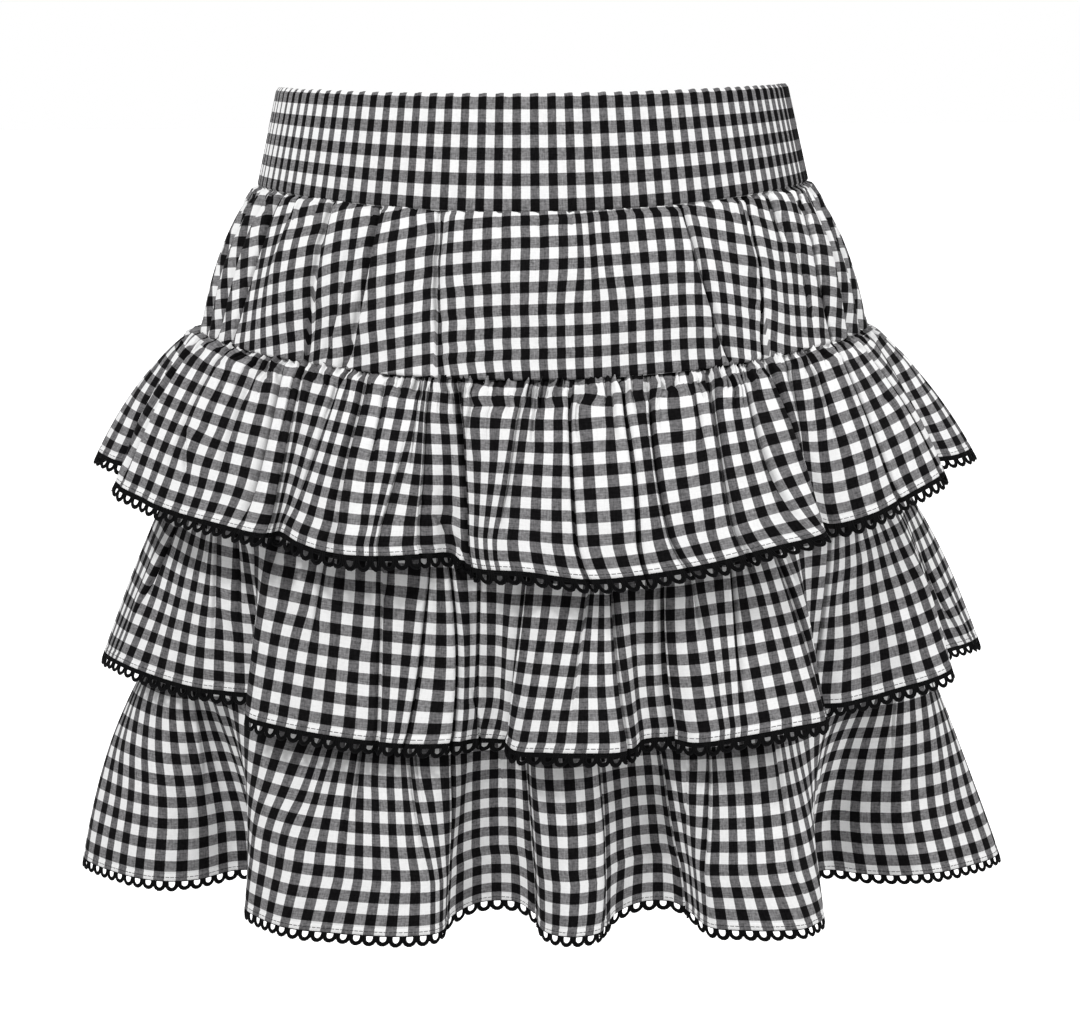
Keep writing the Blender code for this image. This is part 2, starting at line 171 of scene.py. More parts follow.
CREASES_1 = [Crease(*row) for row in (
    (66, 79, 80, -4.0, 10.0, 4.0, -0.1, 1.2), (112, 118, 119, -1.6, 4.0, 2.2, -0.1, 1),
    (158, 161, 160, -1.8, 5.0, 2.4, -0.1, 0.9), (181, 194, 190, -4.0, 8.0, 5.0, -0.1, 1.2),
    (203, 209, 211, -2.5, 3.0, 3.0, -0.1, 1.3), (239, 236, 222, -2.2, 2.6, 5.0, -0.1, 0.95),
    (261, 261.5, 262, -3.0, 8.0, 3.2, -0.1, 1.4), (280, 279, 280, -1.6, 4.0, 2.0, -0.1, 0.6),
    (305, 296, 284.5, -1.8, 2.2, 5.0, 0.2, 1.3), (310, 313.5, 312, -2.8, 3.2, 7.0, -0.1, 1.4),
    (333, 346.5, 351, -5.0, 7.0, 5.0), (386, 377, 368, -2.2, 2.6, 6.0, -0.1, 0.95),
    (420, 418, 420, -3.2, 6.0, 2.3, -0.1, 1.4), (449, 449, 449, -1.4, 3.0, 2.0, -0.1, 0.45),
    (456, 458, 454, -3.2, 2.5, 2.5), (479, 472, 479, -3.4, 6.0, 3.0, -0.1, 1.4),
    (511, 504, 500, -1.6, 2.0, 4.0, -0.1, 0.5), (529, 516, 517, -4.0, 7.0, 3.6),
    (558, 545, 558, -3.0, 3.4, 6.0, -0.1, 1), (585, 581, 580, -2.5, 6.0, 3.0, -0.1, 0.7),
    (606, 595, 588, -5.0, 6.0, 8.0), (634, 631, 628, -1.8, 3.0, 2.2, -0.1, 0.65),
    (668, 663.5, 665, -2.4, 6.0, 2.6, -0.1, 1.4), (700, 708, 710, -2.5, 5.0, 3.0, -0.1, 1.3),
)]
PINCHES_1 = [Crease(*row) for row in (
    (90, 110, 130, -2.5, 3.0, 3.0, 0.42, 0.85), (213, 211, 208, -1.5, 2.0, 2.0, -0.1, 0.2),
    (294, 301, 302, -1.4, 3.0, 2.0, -0.1, 0.65), (262, 300, 338, -1.5, 2.0, 4.0, 0.6, 1.2),
    (362, 352, 346, -2.0, 2.4, 5.0, -0.1, 0.5),
)]
CREASES_2 = [Crease(*row) for row in (
    (70, 48, 28, -3.0, 3.5, 6.0, -0.1, 0.75), (112, 114, 116, -1.6, 3.0, 3.0, -0.1, 0.9),
    (134, 137, 138, -1.6, 3.0, 3.0, -0.1, 0.8), (219, 220, 220, -1.6, 3.0, 2.0, -0.1, 0.7),
    (257, 265.5, 271, -3.0, 7.0, 3.2), (293, 293.5, 287, -2.4, 3.0, 3.0, -0.1, 1.4),
    (302, 315.5, 316, -3.4, 3.6, 9.0), (331, 331.5, 331, -2.0, 4.0, 2.4, -0.1, 1),
    (372, 366, 352, -3.2, 9.0, 3.6), (430, 412, 400, -2.4, 7.0, 2.8, -0.1, 1),
    (441, 435.5, 440, -3.0, 3.4, 4.0), (492, 475.5, 475, -3.6, 9.0, 3.8),
    (508, 504, 504, -1.4, 2.0, 2.0, -0.1, 0.55), (545, 528, 520, -2.6, 3.0, 6.0, -0.1, 1.05),
    (572, 578, 584, -2.6, 6.0, 3.0, -0.1, 1.4), (640, 622, 606, -2.5, 3.0, 3.0, -0.1, 1.4),
    (735, 748, 770, -2.5, 3.0, 3.0, 0.3, 1),
)]
PINCHES_2 = [Crease(280, 302, 325, -2.6, 3.0, 3.0, 0.7, 1.3)]
CREASES_3 = [Crease(*row) for row in (
    (288, 298, 305, -1.3, 3.0, 2.0, -0.1, 0.8), (316, 346, 371, -1.6, 4.0, 2.0, -0.1, 0.85),
    (358, 372, 376, -2.5, 3.0, 4.0), (436, 443, 447, -2.2, 4.0, 3.0),
    (519, 516, 509, -2.2, 3.0, 4.0), (576, 573, 578, -2.2, 4.0, 3.0),
    (630, 608, 588, -2.0, 5.0, 2.4, -0.1, 1.1), (684, 661, 660, -1.5, 3.0, 2.0, -0.1, 1.1),
)]
PINCHES_3 = [Crease(614, 598, 586, -1.4, 2.0, 2.0, -0.1, 0.9)]
RUFFLE_CREASES = [CREASES_1, CREASES_2, CREASES_3]
RUFFLE_PINCHES = [PINCHES_1, PINCHES_2, PINCHES_3]

STEEPEST = 0.96           # the sine of the steepest slope that a crease may have
TROUGH_POWER = 1.4        # how sharp the line of a trough is
STEEP = 0.85              # half breadth of a gather's steep side against its depth
ROLL = 0.4                # height of the roll beside a gather against its depth
ROLL_BESIDE = 1.2         # how far beside it that is, against its steep side's breadth
FADE = 0.4                # the part of a crease's length over which it fades
NARROWED = 0.6            # how much narrower a crease is where it has faded
SEAM_REACH = 0.05         # the part down a cut by which its creases are as deep as they get
TIGHTEST = 0.45           # the least room between two creases against the cloth between them
FULL_STEP = 2.6           # the depth in millimetres of a crease over which checks step in full
STEP_REACH = 24.0         # the widest panel in millimetres whose rows lean with its columns
SHALLOWEST = 0.6          # how much shallower creases may get where cloth is short
DEEPEST = 1.7             # how much deeper creases may get to take up their cloth
TAKE_UP_STEPS = 9         # halvings by which that depth is found
PUFF = 1.1 * MM           # how far gathered cloth stands out at creases of their own depth
TUCK_REACH = 0.12         # the part of a panel beside each crease that hides its tucked cloth
SKEW = 0.9                # how much of a panel's lean its rows follow
PUFF_FADE = (0.2, 0.9)    # the parts down a cut between which that puff fades
SLIP_FADE = (0.7, 1.0)    # between which the lean of a ruffle's rows fades
TUCKED_FADE = (0.1, 0.8)  # and between which its checks get back to their own width
SLOPE_STEP = 0.01         # the part down a cut over which its surface's slope is taken
SEAM_SHOWN = 0.6          # the part of its creases' depth that gathered cloth has at its seam
CURVE_PARTS = 48          # points between two rows of a closed curve

# Gathers along a seam: their depth and spacing in millimetres, and the parts down the cut that
# they reach. Each ruffle has the fine ones and its own long ones.
Gathers = namedtuple("Gathers", "depth spacing reaches")
FINE_GATHERS = Gathers(2.9, 4.4, (0.07, 0.1, 0.14))
LONG_GATHERS = [Gathers(1.5, spacing, (0.15, 0.2, 0.3, 0.45)) for spacing in (11.0, 14.0, 20.0)]
YOKE_GATHERS = [Gathers(0.7, 6.0, (0.05, 0.07, 0.1)), Gathers(1.2, 17.0, (0.1, 0.15, 0.2, 0.3))]
YOKE_PUCKERS = Gathers(2.2, 13.0, (0.14, 0.2, 0.3))
UNEVEN_DEPTH = (0.6, 1.3)           # how uneven gathers and ribs are in depth
UNEVEN_SPACING = (0.6, 1.4)         # and gathers in spacing and reach
UNEVEN_REACH = (0.75, 1.3)
GATHER_LEAN = 8           # the most that a gather leans, in millimetres over a whole cut
LEAN_MIDDLE = 0.6         # the part of its lean that it has in its middle
GENTLE = (1.0, 1.0, 1.8, 3.0)       # how much broader one side of a gather is
GENTLE_LEFT = 0.65        # and how often that is its left one

# Soft ridges along a half: how many, and their depth and half breadth in millimetres.
Rolls = namedtuple("Rolls", "count depth breadth")
RUFFLE_ROLLS = Rolls(16, 1.2, 11.0)
YOKE_ROLLS = Rolls(8, 1.0, 9.0)
# How uneven they are: in place, depth and breadth, in how much broader their right side is,
# in lean in millimetres, in the part of it at their middle, and in where they start and end.
ROLL_PLACE = (0.1, 0.9)
ROLL_DEPTH = (0.3, 1.2)
ROLL_BREADTH = (0.7, 1.5)
ROLL_RIGHT = (0.6, 1.5)
ROLL_LEAN = 12
ROLL_BEND = (0.2, 0.8)
ROLL_STARTS = (FROM_TOP, FROM_TOP, 0.1, 0.3)
ROLL_ENDS = (0.6, 1.8)

# Creases of a hidden half: their depth, spacing and lean in millimetres.
Scatter = namedtuple("Scatter", "depth spacing lean")
RUFFLE_SCATTER = [Scatter(2.6, 26.0, 12.0), Scatter(2.4, 36.0, 12.0), Scatter(2.0, 60.0, 12.0)]
YOKE_SCATTER = Scatter(2.2, 45.0, 8.0)
# How uneven they are in depth and spacing, how wide they are on one side against their depth,
# how often that is the left one, and where they end.
SCATTER_DEPTH = (0.6, 1.5)
SCATTER_SPACING = (0.55, 1.5)
SCATTER_WIDE = (1.6, 2.8)
SCATTER_LEFT = 0.6
SCATTER_ENDS = (0.6, 0.9, 1.2, 1.4, 1.5)

# Rows of a mesh: their step in millimetres, and their distances near the top and the hem.
Rows = namedtuple("Rows", "step near_top near_hem")
RUFFLE_ROWS = Rows(4.0, (-2.5, -0.8, 0, 0.8, 1.8, 3.2, 5.0, 7.5, 10.5),
                   (0, 1.7, 3.4, 4.0, 4.5, 5.0, 6.5))
YOKE_ROWS = Rows(3.2, (-2.5, -1.0, 0, 0.6, 1.4, 2.4, 3.8, 5.6, 8.0, 11.0),
                 (0, 0.5, 1.0, 1.8, 3.0, 5.0))
FRONT_PITCH = (0.50, 0.62, 0.75)    # columns of each front ruffle against the named pitch
BACK_PITCH = 1.4                    # and columns of a back piece

# How far an upper edge lies from its seam ring, in millimetres: at its raw edge, then what it
# comes out by up to the seam and below it, and how far below that is done.
Tuck = namedtuple("Tuck", "raw to_seam below reach")
RUFFLE_TUCK = Tuck(-1.2, 0.6, 1.8, 4)
YOKE_TUCK = Tuck(-2.0, 0.6, 1.4, 3)
TUCK_ABOVE = -2.5         # where its raw edge lies, in millimetres below the seam

HEM_LEDGE = 0.35          # depth in millimetres of the step over a turned hem
LEDGE_BREADTH = 0.6       # and its half breadth
TURNED_BEHIND = 0.9 * MM  # how far behind the cloth its turned part lies
TURNED_SPARE = 0.5        # rows this far in millimetres past its height still belong to it
FOLD_BEHIND = 0.45 * MM   # how far behind and below the cloth the line of its fold lies
FOLD_BELOW = 0.25 * MM
FOLD_UP = -0.0004         # that line's height above the hem on the cloth
HEM_CHECK = 1.15          # checks between a hem and the first whole row
PHASE_STEP = 0.37         # checks by which each ruffle's columns are moved on
PHASE_BACK = 0.5          # and by which a back's are

YOKE_WIDTH = 0.560        # cut of half the yoke before its fullness, in metres
YOKE_DEPTH = 92.0         # and its depth in millimetres
YOKE_FAN = 0.12           # how much wider its checks are at its lower edge than at its upper one
YOKE_SMOOTH = 0.27        # the part of its width each way from its middle without puckers
YOKE_CARRY = 0.35         # how much of their lean its creases give its columns
YOKE_RISE = 0.3           # how steeply its rows rise towards the middle
YOKE_HIDDEN = 0.1         # the part of its checks that its creases hide
YOKE_PHASE = 0.2          # checks by which its columns and rows are moved on
# Checks by which its rows arch up left and right of the middle and drop on the right, and the
# parts of the way to the side, or of the whole way, between which they do so.
Arch = namedtuple("Arch", "by start end")
LEFT_ARCH = Arch(7, 0.02, 0.85)
RIGHT_ARCH = Arch(4, 0.25, 0.75)
RIGHT_DROP = Arch(0.27, 0.42, 0.62)
BACK_ARCH = 6
# Millimetres by which its lower edge first rolls out and then in, and the heights above it,
# below zero, between which it does so.
YOKE_OUT = Arch(0.7, -8, -1.5)
YOKE_IN = Arch(0.9, -1.0, 0)

BAND_WIDTH = 0.50         # cut of half the waistband before its fullness, in metres
BAND_CHECKS = 9           # checks down it
BAND_COLUMNS = 6          # columns of its mesh to a pair of checks
BAND_THICK = 2.4 * MM     # its casing and elastic together
BAND_CAP = 0.9
BAND_SLIVER = 0.5         # what shows of the next row of checks at its lower edge
BAND_PHASE = 0.25         # checks by which its columns are moved on
RIB_DEPTH = 0.7           # depth and half breadth of its ribs in millimetres
RIB_BREADTH = 3.6
RIB_CHECKS = 2            # checks from one rib to the next
RIB_RISES = (1, 0.8, 0.5, 0.2)      # how far the ribs lift the first rows, a part of RIB_RISE
RIB_RISE = 0.6
BAND_TOP_ROLL = (0.9, 1.0)          # how far its edges roll in and over what height
BAND_LOW_ROLL = (1.3, 0.7)
BAND_ROWS = np.concatenate([[0, 0.01, 0.022, 0.04], np.linspace(0.07, 0.93, 12),
                            [0.96, 0.975, 0.985, 0.993, 1.0]])
BAND_INSIDE = [0, 3, 8, 12, 16, 20]  # the outer rows that its inner face repeats
# Rows over its top edge: the parts of the outer and of the inner row, and their rise.
Shoulder = namedtuple("Shoulder", "outer inner rise")
SHOULDERS = [Shoulder(0.2, 0.8, 0.5 * MM), Shoulder(0.5, 0.5, 0.7 * MM),
             Shoulder(0.8, 0.2, 0.5 * MM)]

BASE_WIDTH = 0.63         # cut of a base panel in metres
BASE_DEPTH = 0.178
BASE_BEHIND = 0.8 * MM    # how far inside its solid's face it lies
BASE_BELOW = 1.2 * MM     # and how far below the yoke's lower ring it starts
BASE_ROWS = 25
BASE_COLUMNS = 120
SHORTS_WIDTH = 0.50       # cut of a panel of the shorts in metres
SHORTS_DEPTH = 0.278
SHORTS_RISE = 4.5         # what their top edge is raised by, in millimetres
RISE_OVER = 0.06          # the part down them over which they are raised
LEG_ROWS = 31
LEG_COLUMNS = 65
JERSEY_THICKER = 1.4      # the jersey against the gingham

# The lace of each ruffle: how many times the named drop it hangs, how far below the hem the
# cords of its header lie in millimetres, and the part of its drop above its openings.
Lace = namedtuple("Lace", "longer header post")
LACES = [Lace(1.32, (0.3, 1.4, 2.5), 0.40), Lace(1.26, (0.3, 1.4, 2.4), 0.40),
         Lace(1.0, (0.2,), 0.28)]
LACE_SIDES = 4            # sides of a cord
LACE_BEHIND = 0.7 * MM    # how far behind the face of the cloth it hangs
SCALLOP_TURNS = np.linspace(0, math.pi, 8)
HEADER_RADIUS = 0.6 * MM
# The two cords of a scallop: how far in they lie, in their radii, and how far out in metres.
Cord = namedtuple("Cord", "inset out")
CORDS = [Cord(0.2, 0.0), Cord(2.0, 0.15 * MM)]
LOOP_UNEVEN = 0.03        # the part of its width by which a scallop is off its place
DROP_UNEVEN = (0.94, 1.04)          # and how far it hangs against the others
CORD_FATTER = 1.12        # a cord's radius against a quarter of the named thread

# Lamps: their place in metres, their side and their power in watts.
Lamp = namedtuple("Lamp", "name place size power")
LAMPS = [Lamp("key_lamp", (-1.0, -1.45, 1.55), 0.3, 37),
         Lamp("fill_lamp", (2.15, -0.95, 0.85), 0.6, 26)]
LAMP_TARGET = (0, 0, -0.24)
SKY_STRENGTH = 0.45
FOCAL_LENGTH = 79.67      # of the camera, in millimetres
CAMERA_PLACE = (0.0027, -1.40, 0.0)
CAMERA_TIP = 79.93        # degrees from straight down
CAMERA_ROLL = -0.45
FLOOR_HALF = 60.0         # half the floor's side in metres
FLOOR_HEIGHT = -1.0

# Finishes: how much sheen they have, how rough it is, their gloss, their roughness and how far
# that varies.
Shine = namedtuple("Shine", "sheen sheen_roughness specular roughness unevenness")
COTTON = Shine(0.01, 0.4, 0.02, 0.78, 0.2)
CORD = Shine(0.005, 0.5, 0.04, 0.62, 0.2)
KNIT = Shine(0.2, 0.4, 0.3, 0.7, 0.2)
CORD_RELIEF = 0.00035     # how far the threads of the lace stand out, in metres
KNIT_RELIEF = 0.0002      # and those of the jersey
SHADING = 0.12            # how much single threads are lighter or darker, dyed or not
# Unevenness of the finishes: how fine it is, in times a metre, and its detail.
Grain = namedtuple("Grain", "fineness detail")
EDGE_GRAIN = Grain(1500.0, 1.0)     # along the edges of the squares
THREAD_GRAIN = Grain(1.0, 2.0)      # of single threads, made finer by THREADS
SLUB_GRAIN = Grain(700.0, 1.0)
CLOUD_GRAIN = Grain(90.0, 3.0)
FUZZ_GRAIN = Grain(1400.0, 3.0)
TWIST_GRAIN = Grain(520.0, 2.0)
KNIT_GRAIN = Grain(70.0, 3.0)
# How high the weave, single threads and stitches stand, in the weave's named height.
WEAVE_RELIEF = 0.35
THREAD_RELIEF = 0.6
STITCH_RELIEF = 2.0
TWIST_RELIEF = 0.7        # the twist and the fuzz of the lace, in the relief of its threads
FUZZ_RELIEF = 0.5
RIB_RELIEF = 0.7          # the ribs and the loops of the jersey, in the relief of its threads
LOOP_RELIEF = 0.3
LACE_DARKEST = 0.6        # the darkest threads against their colour, and how much others add
LACE_UNEVEN = 0.9
JERSEY_DARKEST = 0.75
JERSEY_UNEVEN = 0.5
JERSEY_THREAD = 0.5       # how much of the sewing thread's colour shows on it
DASH = 0.78               # the part of a stitch's length that its thread shows
JERSEY_STITCH = 0.012     # height in metres of the stitching above the hem of the shorts
THREAD_SHOWS = 0.8        # how much of the sewing thread's colour shows
RAGGED = 0.16             # how uneven the edges of the squares are
SLUBS = 0.8               # how much thick places in the thread count beside its own unevenness
THREADS = (1300.0, 170.0)  # how fine that unevenness is, across a thread and along it


# ---------------------------------------------------------------- shapes

def unit(ways):
    """Ways of length 1 in the same directions."""
    return ways / np.linalg.norm(ways, axis=-1, keepdims=True)


def running(steps, axis=-1):
    """Running sums of steps along an axis, which start at 0."""
    return np.insert(np.cumsum(steps, axis=axis), 0, 0.0, axis=axis)


def soft_step(value, low, high):
    """0 below low, 1 above high and an even curve between them."""
    part = np.clip((value - low) / (high - low), 0, 1)
    return part * part * (3 - 2 * part)


def ring_points(ring, turn, inset=0.0):
    """Points of a ring at turns from the centre front, moved in by inset metres."""
    sine = np.sin(turn)
    cosine = np.cos(turn)
    across = np.sign(sine) * np.abs(sine) ** (2 / ring.power)
    forward = np.sign(cosine) * np.abs(cosine) ** (2 / ring.power)
    depth = np.where(forward > 0, ring.front_depth, ring.back_depth)
    middle = np.where(forward > 0, ring.front_height, ring.back_height)
    height = ring.side_height + (middle - ring.side_height) * cosine ** 2
    return np.stack([(ring.half_width * MM - inset) * across,
                     -(depth * MM - inset) * forward, height * MM], axis=-1)


def ring_surface(top, bottom, swell=0.0, inset=0.0, gap=SEAM_GAP, folds=()):
    """The surface between two rings, over parts of a round from the left side and parts down."""
    def surface(along, down):
        turn = (along - 0.25) * 2 * math.pi
        upper = ring_points(top, turn, inset) - np.array([0, 0, gap])
        lower = ring_points(bottom, turn, inset)
        spread = down + swell * down * (1 - down)
        parts = np.stack([spread, spread, down], axis=-1)
        points = upper + (lower - upper) * parts
        outward = unit(points * np.array([1, 1, 0]))
        for fold in folds:
            centre = np.radians(fold.turn + fold.lean * (0.5 - down))
            breadth = np.radians(
                fold.top_breadth + (fold.bottom_breadth - fold.top_breadth) * down)
            away = (turn - centre + math.pi) % (2 * math.pi) - math.pi
            swing = np.exp(-(away / breadth) ** 2) * np.sin(
                math.pi * np.clip(YOKE_FOLD_START + YOKE_FOLD_REACH * down, 0, 1))
            points = points + outward * (fold.depth * MM * swing)[..., None]
        return points

    return surface


def smooth_loop(rows):
    """Stations round a closed curve through rows of three numbers, evenly spaced along it."""
    points = [Vector(row) for row in rows]
    count = len(points)
    dense = []
    for index in range(count):
        near = [points[(index + step) % count] for step in (-1, 0, 1, 2)]
        spans = [math.sqrt((near[k + 1] - near[k]).length) for k in range(3)]
        start = ((near[1] - near[0]) / spans[0] - (near[2] - near[0]) / (spans[0] + spans[1])
                 + (near[2] - near[1]) / spans[1]) * spans[1]
        end = ((near[2] - near[1]) / spans[1] - (near[3] - near[1]) / (spans[1] + spans[2])
               + (near[3] - near[2]) / spans[2]) * spans[1]
        for step in range(CURVE_PARTS):
            t = step / CURVE_PARTS
            dense.append(near[1] * (2 * t**3 - 3 * t**2 + 1) + start * (t**3 - 2 * t**2 + t)
                         + near[2] * (3 * t**2 - 2 * t**3) + end * (t**3 - t**2))
    dense = np.array(dense + dense[:1])
    lengths = running(np.linalg.norm(np.diff(dense, axis=0), axis=1))
    wanted = np.arange(CURVE_STEPS) * lengths[-1] / CURVE_STEPS
    stations = np.stack([np.interp(wanted, lengths, dense[:, k]) for k in range(3)], axis=1)
    return stations, lengths[-1] * MM


def steady_turns(stations, ring):
    """The turn of each station of a hem, evened out so that it never runs backwards."""
    turns = np.unwrap(np.arctan2(stations[:, 0] / ring.half_width,
                                 stations[:, 1] / ring.front_depth))
    lap = 2 * math.pi
    for _ in range(EASE_PASSES):
        padded = np.concatenate([turns[-EASE:] - lap, turns, turns[:EASE] + lap])
        sums = running(padded)
        turns = (sums[2 * EASE + 1:] - sums[:-2 * EASE - 1]) / (2 * EASE + 1)
    return np.maximum.accumulate(turns)


class RuffleShape:
    """The cloth of one ruffle, as a surface over its cut: along its length and down its depth."""

    def __init__(self, ruffle):
        self.ruffle = ruffle
        front = [tuple(fold) for fold in ruffle.folds]
        back = [(-across, -forward * BACK_FORWARD, lift) for across, forward, lift in front[1:-1]]
        self.hem, self.length = smooth_loop(front + back)
        self.turns = steady_turns(self.hem, ruffle.top)

    def surface(self, along, down):
        """Points at parts along the cut and parts down it, past 1 for the lace."""
        ruffle = self.ruffle
        place = np.mod(along, 1.0) * CURVE_STEPS
        stations = np.arange(CURVE_STEPS + 1)
        hem = np.vstack([self.hem, self.hem[:1]])
        turns = np.append(self.turns, self.turns[0] + 2 * math.pi)
        across, forward, lift = (np.interp(place, stations, hem[:, k]) for k in range(3))
        top = ring_points(ruffle.top, np.interp(place, stations, turns), -ruffle.outside)
        top = top - np.array([0, 0, SEAM_GAP])
        facing = np.arctan2(across / ruffle.top.half_width, forward / ruffle.top.front_depth)
        blend = np.abs(np.cos(facing)) ** HEM_BLEND
        height = ruffle.side_hem + (ruffle.centre_hem - ruffle.side_hem) * blend + lift
        hem_point = np.stack([across, -forward, height], axis=-1) * MM
        spread = np.where(down < 1, down + ruffle.swell * down * (1 - down), down)
        parts = np.stack([spread, spread, np.broadcast_to(down, spread.shape)], axis=-1)
        belly = np.where(across < 0, -ruffle.left_belly, ruffle.right_belly) * MM
        belly = belly * np.abs(np.sin(facing)) ** BELLY_POWER
        bellied = np.sin(math.pi * np.clip(down, 0, 1) ** ruffle.early)
        points = top + (hem_point - top) * parts
        points[..., 0] += belly * bellied
        return points


def line_of(crease, rows):
    """The place of a crease's line at parts down the cut."""
    return (crease.top * (1 - rows) * (1 - 2 * rows) + crease.middle * 4 * rows * (1 - rows)
            + crease.bottom * rows * (2 * rows - 1))


def shown_of(crease, rows):
    """How much of a crease shows at parts down the cut."""
    reach = crease.end - crease.start
    shown = 1 - soft_step(rows, crease.end - FADE * reach, crease.end)
    if crease.start > 0:
        shown = shown * soft_step(rows, crease.start, crease.start + FADE * reach)
    return shown


def relief_of(creases, place, rows, factor):
    """How far creases lift the cloth, in millimetres, at places along its cut and parts down it,
    each row's creases made deeper by its factor. Ridges are round and troughs are sharp."""
    lift = np.zeros((len(rows), len(place)))
    for crease in creases:
        line = line_of(crease, rows)
        shown = shown_of(crease, rows)
        depth = crease.depth * shown * factor
        least = np.abs(depth) * STEEP
        slack = NARROWED + (1 - NARROWED) * shown
        before = np.maximum(crease.before * slack, least)
        after = np.maximum(crease.after * slack, least)
        low, high = np.searchsorted(
            place, ((line - before).min(), (line + after).max()))
        away = place[None, low:high] - line[:, None]
        breadth = np.where(away < 0, before[:, None], after[:, None])
        near = np.maximum(1 - np.abs(away) / np.maximum(breadth, 0.1), 0)
        shape = near ** TROUGH_POWER if crease.depth < 0 else near * near * (3 - 2 * near)
        lift[:, low:high] += depth[:, None] * shape
    return lift


def gathers(dice, width, depth, spacing, reaches):
    """Sharp troughs along a gathered edge, a spacing apart in millimetres, uneven in place,
    depth and length. Half have one side that falls away gently, and the cloth rolls over a
    little along the other."""
    troughs = []
    place = spacing * 0.5
    while place < width:
        reach = dice.choice(reaches) * dice.uniform(*UNEVEN_REACH)
        size = depth * dice.uniform(*UNEVEN_DEPTH)
        lean = dice.uniform(-GATHER_LEAN, GATHER_LEAN) * reach
        steep = STEEP * size
        gentle = steep * dice.choice(GENTLE)
        side = 1 if dice.random() < GENTLE_LEFT else -1
        before, after = (gentle, steep) if side > 0 else (steep, gentle)
        troughs.append(Crease(place, place + lean * LEAN_MIDDLE, place + lean, -size, before,
                              after, FROM_TOP, reach))
        roll = place + side * steep * ROLL_BESIDE
        troughs.append(Crease(roll, roll + lean * LEAN_MIDDLE, roll + lean, size * ROLL, steep,
                              steep, FROM_TOP, reach))
        place += spacing * dice.uniform(*UNEVEN_SPACING)
    return troughs


def scattered_creases(dice, width, depth, spacing, lean):
    """Creases that part a hidden half into panels, uneven in place, depth, length and lean."""
    creases = []
    place = spacing * dice.uniform(0.5, 1.0)
    while place < width - spacing * 0.4:
        size = depth * dice.uniform(*SCATTER_DEPTH)
        wide = size * dice.uniform(*SCATTER_WIDE)
        steep = STEEP * size
        before, after = (wide, steep) if dice.random() < SCATTER_LEFT else (steep, wide)
        top = place + dice.uniform(-lean, lean)
        bottom = place + dice.uniform(-lean, lean)
        creases.append(Crease(top, place, bottom, -size, before, after, FROM_TOP,
                              dice.choice(SCATTER_ENDS)))
        place += spacing * dice.uniform(*SCATTER_SPACING)
    return creases


def rolls(dice, width, count, depth, breadth):
    """Soft ridges scattered along a width of cloth."""
    creases = []
    for index in range(count):
        place = width * (index + dice.uniform(*ROLL_PLACE)) / count
        wide = breadth * dice.uniform(*ROLL_BREADTH)
        lean = dice.uniform(-ROLL_LEAN, ROLL_LEAN)
        creases.append(Crease(place, place + lean * dice.uniform(*ROLL_BEND), place + lean,
                              depth * dice.uniform(*ROLL_DEPTH), wide,
                              wide * dice.uniform(*ROLL_RIGHT), dice.choice(ROLL_STARTS),
                              dice.uniform(*ROLL_ENDS)))
    return creases


def kept_of(lift, pitch):
    """The part of each column's width that is left across it where its cloth slopes."""
    slope = np.gradient(lift, pitch, axis=1)
    return np.sqrt(1 - np.clip(slope, -STEEPEST, STEEPEST) ** 2)


def taken_up(creases, place, rows, room, ease):
    """The lift of creases that are as deep in each row as takes up the cloth it has no room
    for, where room is the row's length against the cloth's."""
    pitch = place[1] - place[0]
    low = np.full(len(rows), SHALLOWEST)
    high = np.full(len(rows), DEEPEST)
    for _ in range(TAKE_UP_STEPS):
        factor = (low + high) / 2
        kept = kept_of(relief_of(creases, place, rows, factor * ease), pitch).mean(axis=1)
        loose = kept > room
        low = np.where(loose, factor, low)
        high = np.where(loose, high, factor)
    return relief_of(creases, place, rows, factor * ease), factor


def cut_places(guides, width, carry):
    """The places of guides along the cut: the cloth between two of them is as wide as the most
    room that there is between them anywhere, and all of it as wide as the cut."""
    rows = np.linspace(0, 1, 5)
    lines = np.array([np.zeros(5)] + [line_of(guide, rows) for guide in guides]
                     + [np.full(5, width)])
    widest = np.diff(lines, axis=0).max(axis=1)
    even = np.diff(lines[:, 2])
    gaps = np.maximum(even + carry * (widest - even), 1.0)
    places = running(gaps)
    return places * width / places[-1]


def carried(kept, place, rows, guides, knots, carry):
    """Parts along the round for each column of each row: the creases named as guides lie where
    their tables put them, and the cloth between two of them shares the room between."""
    walked = running((kept[:, 1:] + kept[:, :-1]) / 2)
    columns = np.searchsorted(place, knots).clip(0, len(place) - 1)
    lines = [np.zeros(len(rows))]
    lines += [guide.middle + carry * (line_of(guide, rows) - guide.middle) for guide in guides]
    room = np.diff(np.array(lines + [np.full(len(rows), knots[-1])]), axis=0)
    gaps = np.maximum(room, TIGHTEST * np.diff(knots)[:, None])
    lines = running(gaps, axis=0)
    lines /= lines[-1:]
    parts = np.empty_like(walked)
    for row in range(len(rows)):
        parts[row] = np.interp(walked[row], walked[row, columns], lines[:, row])
    return parts


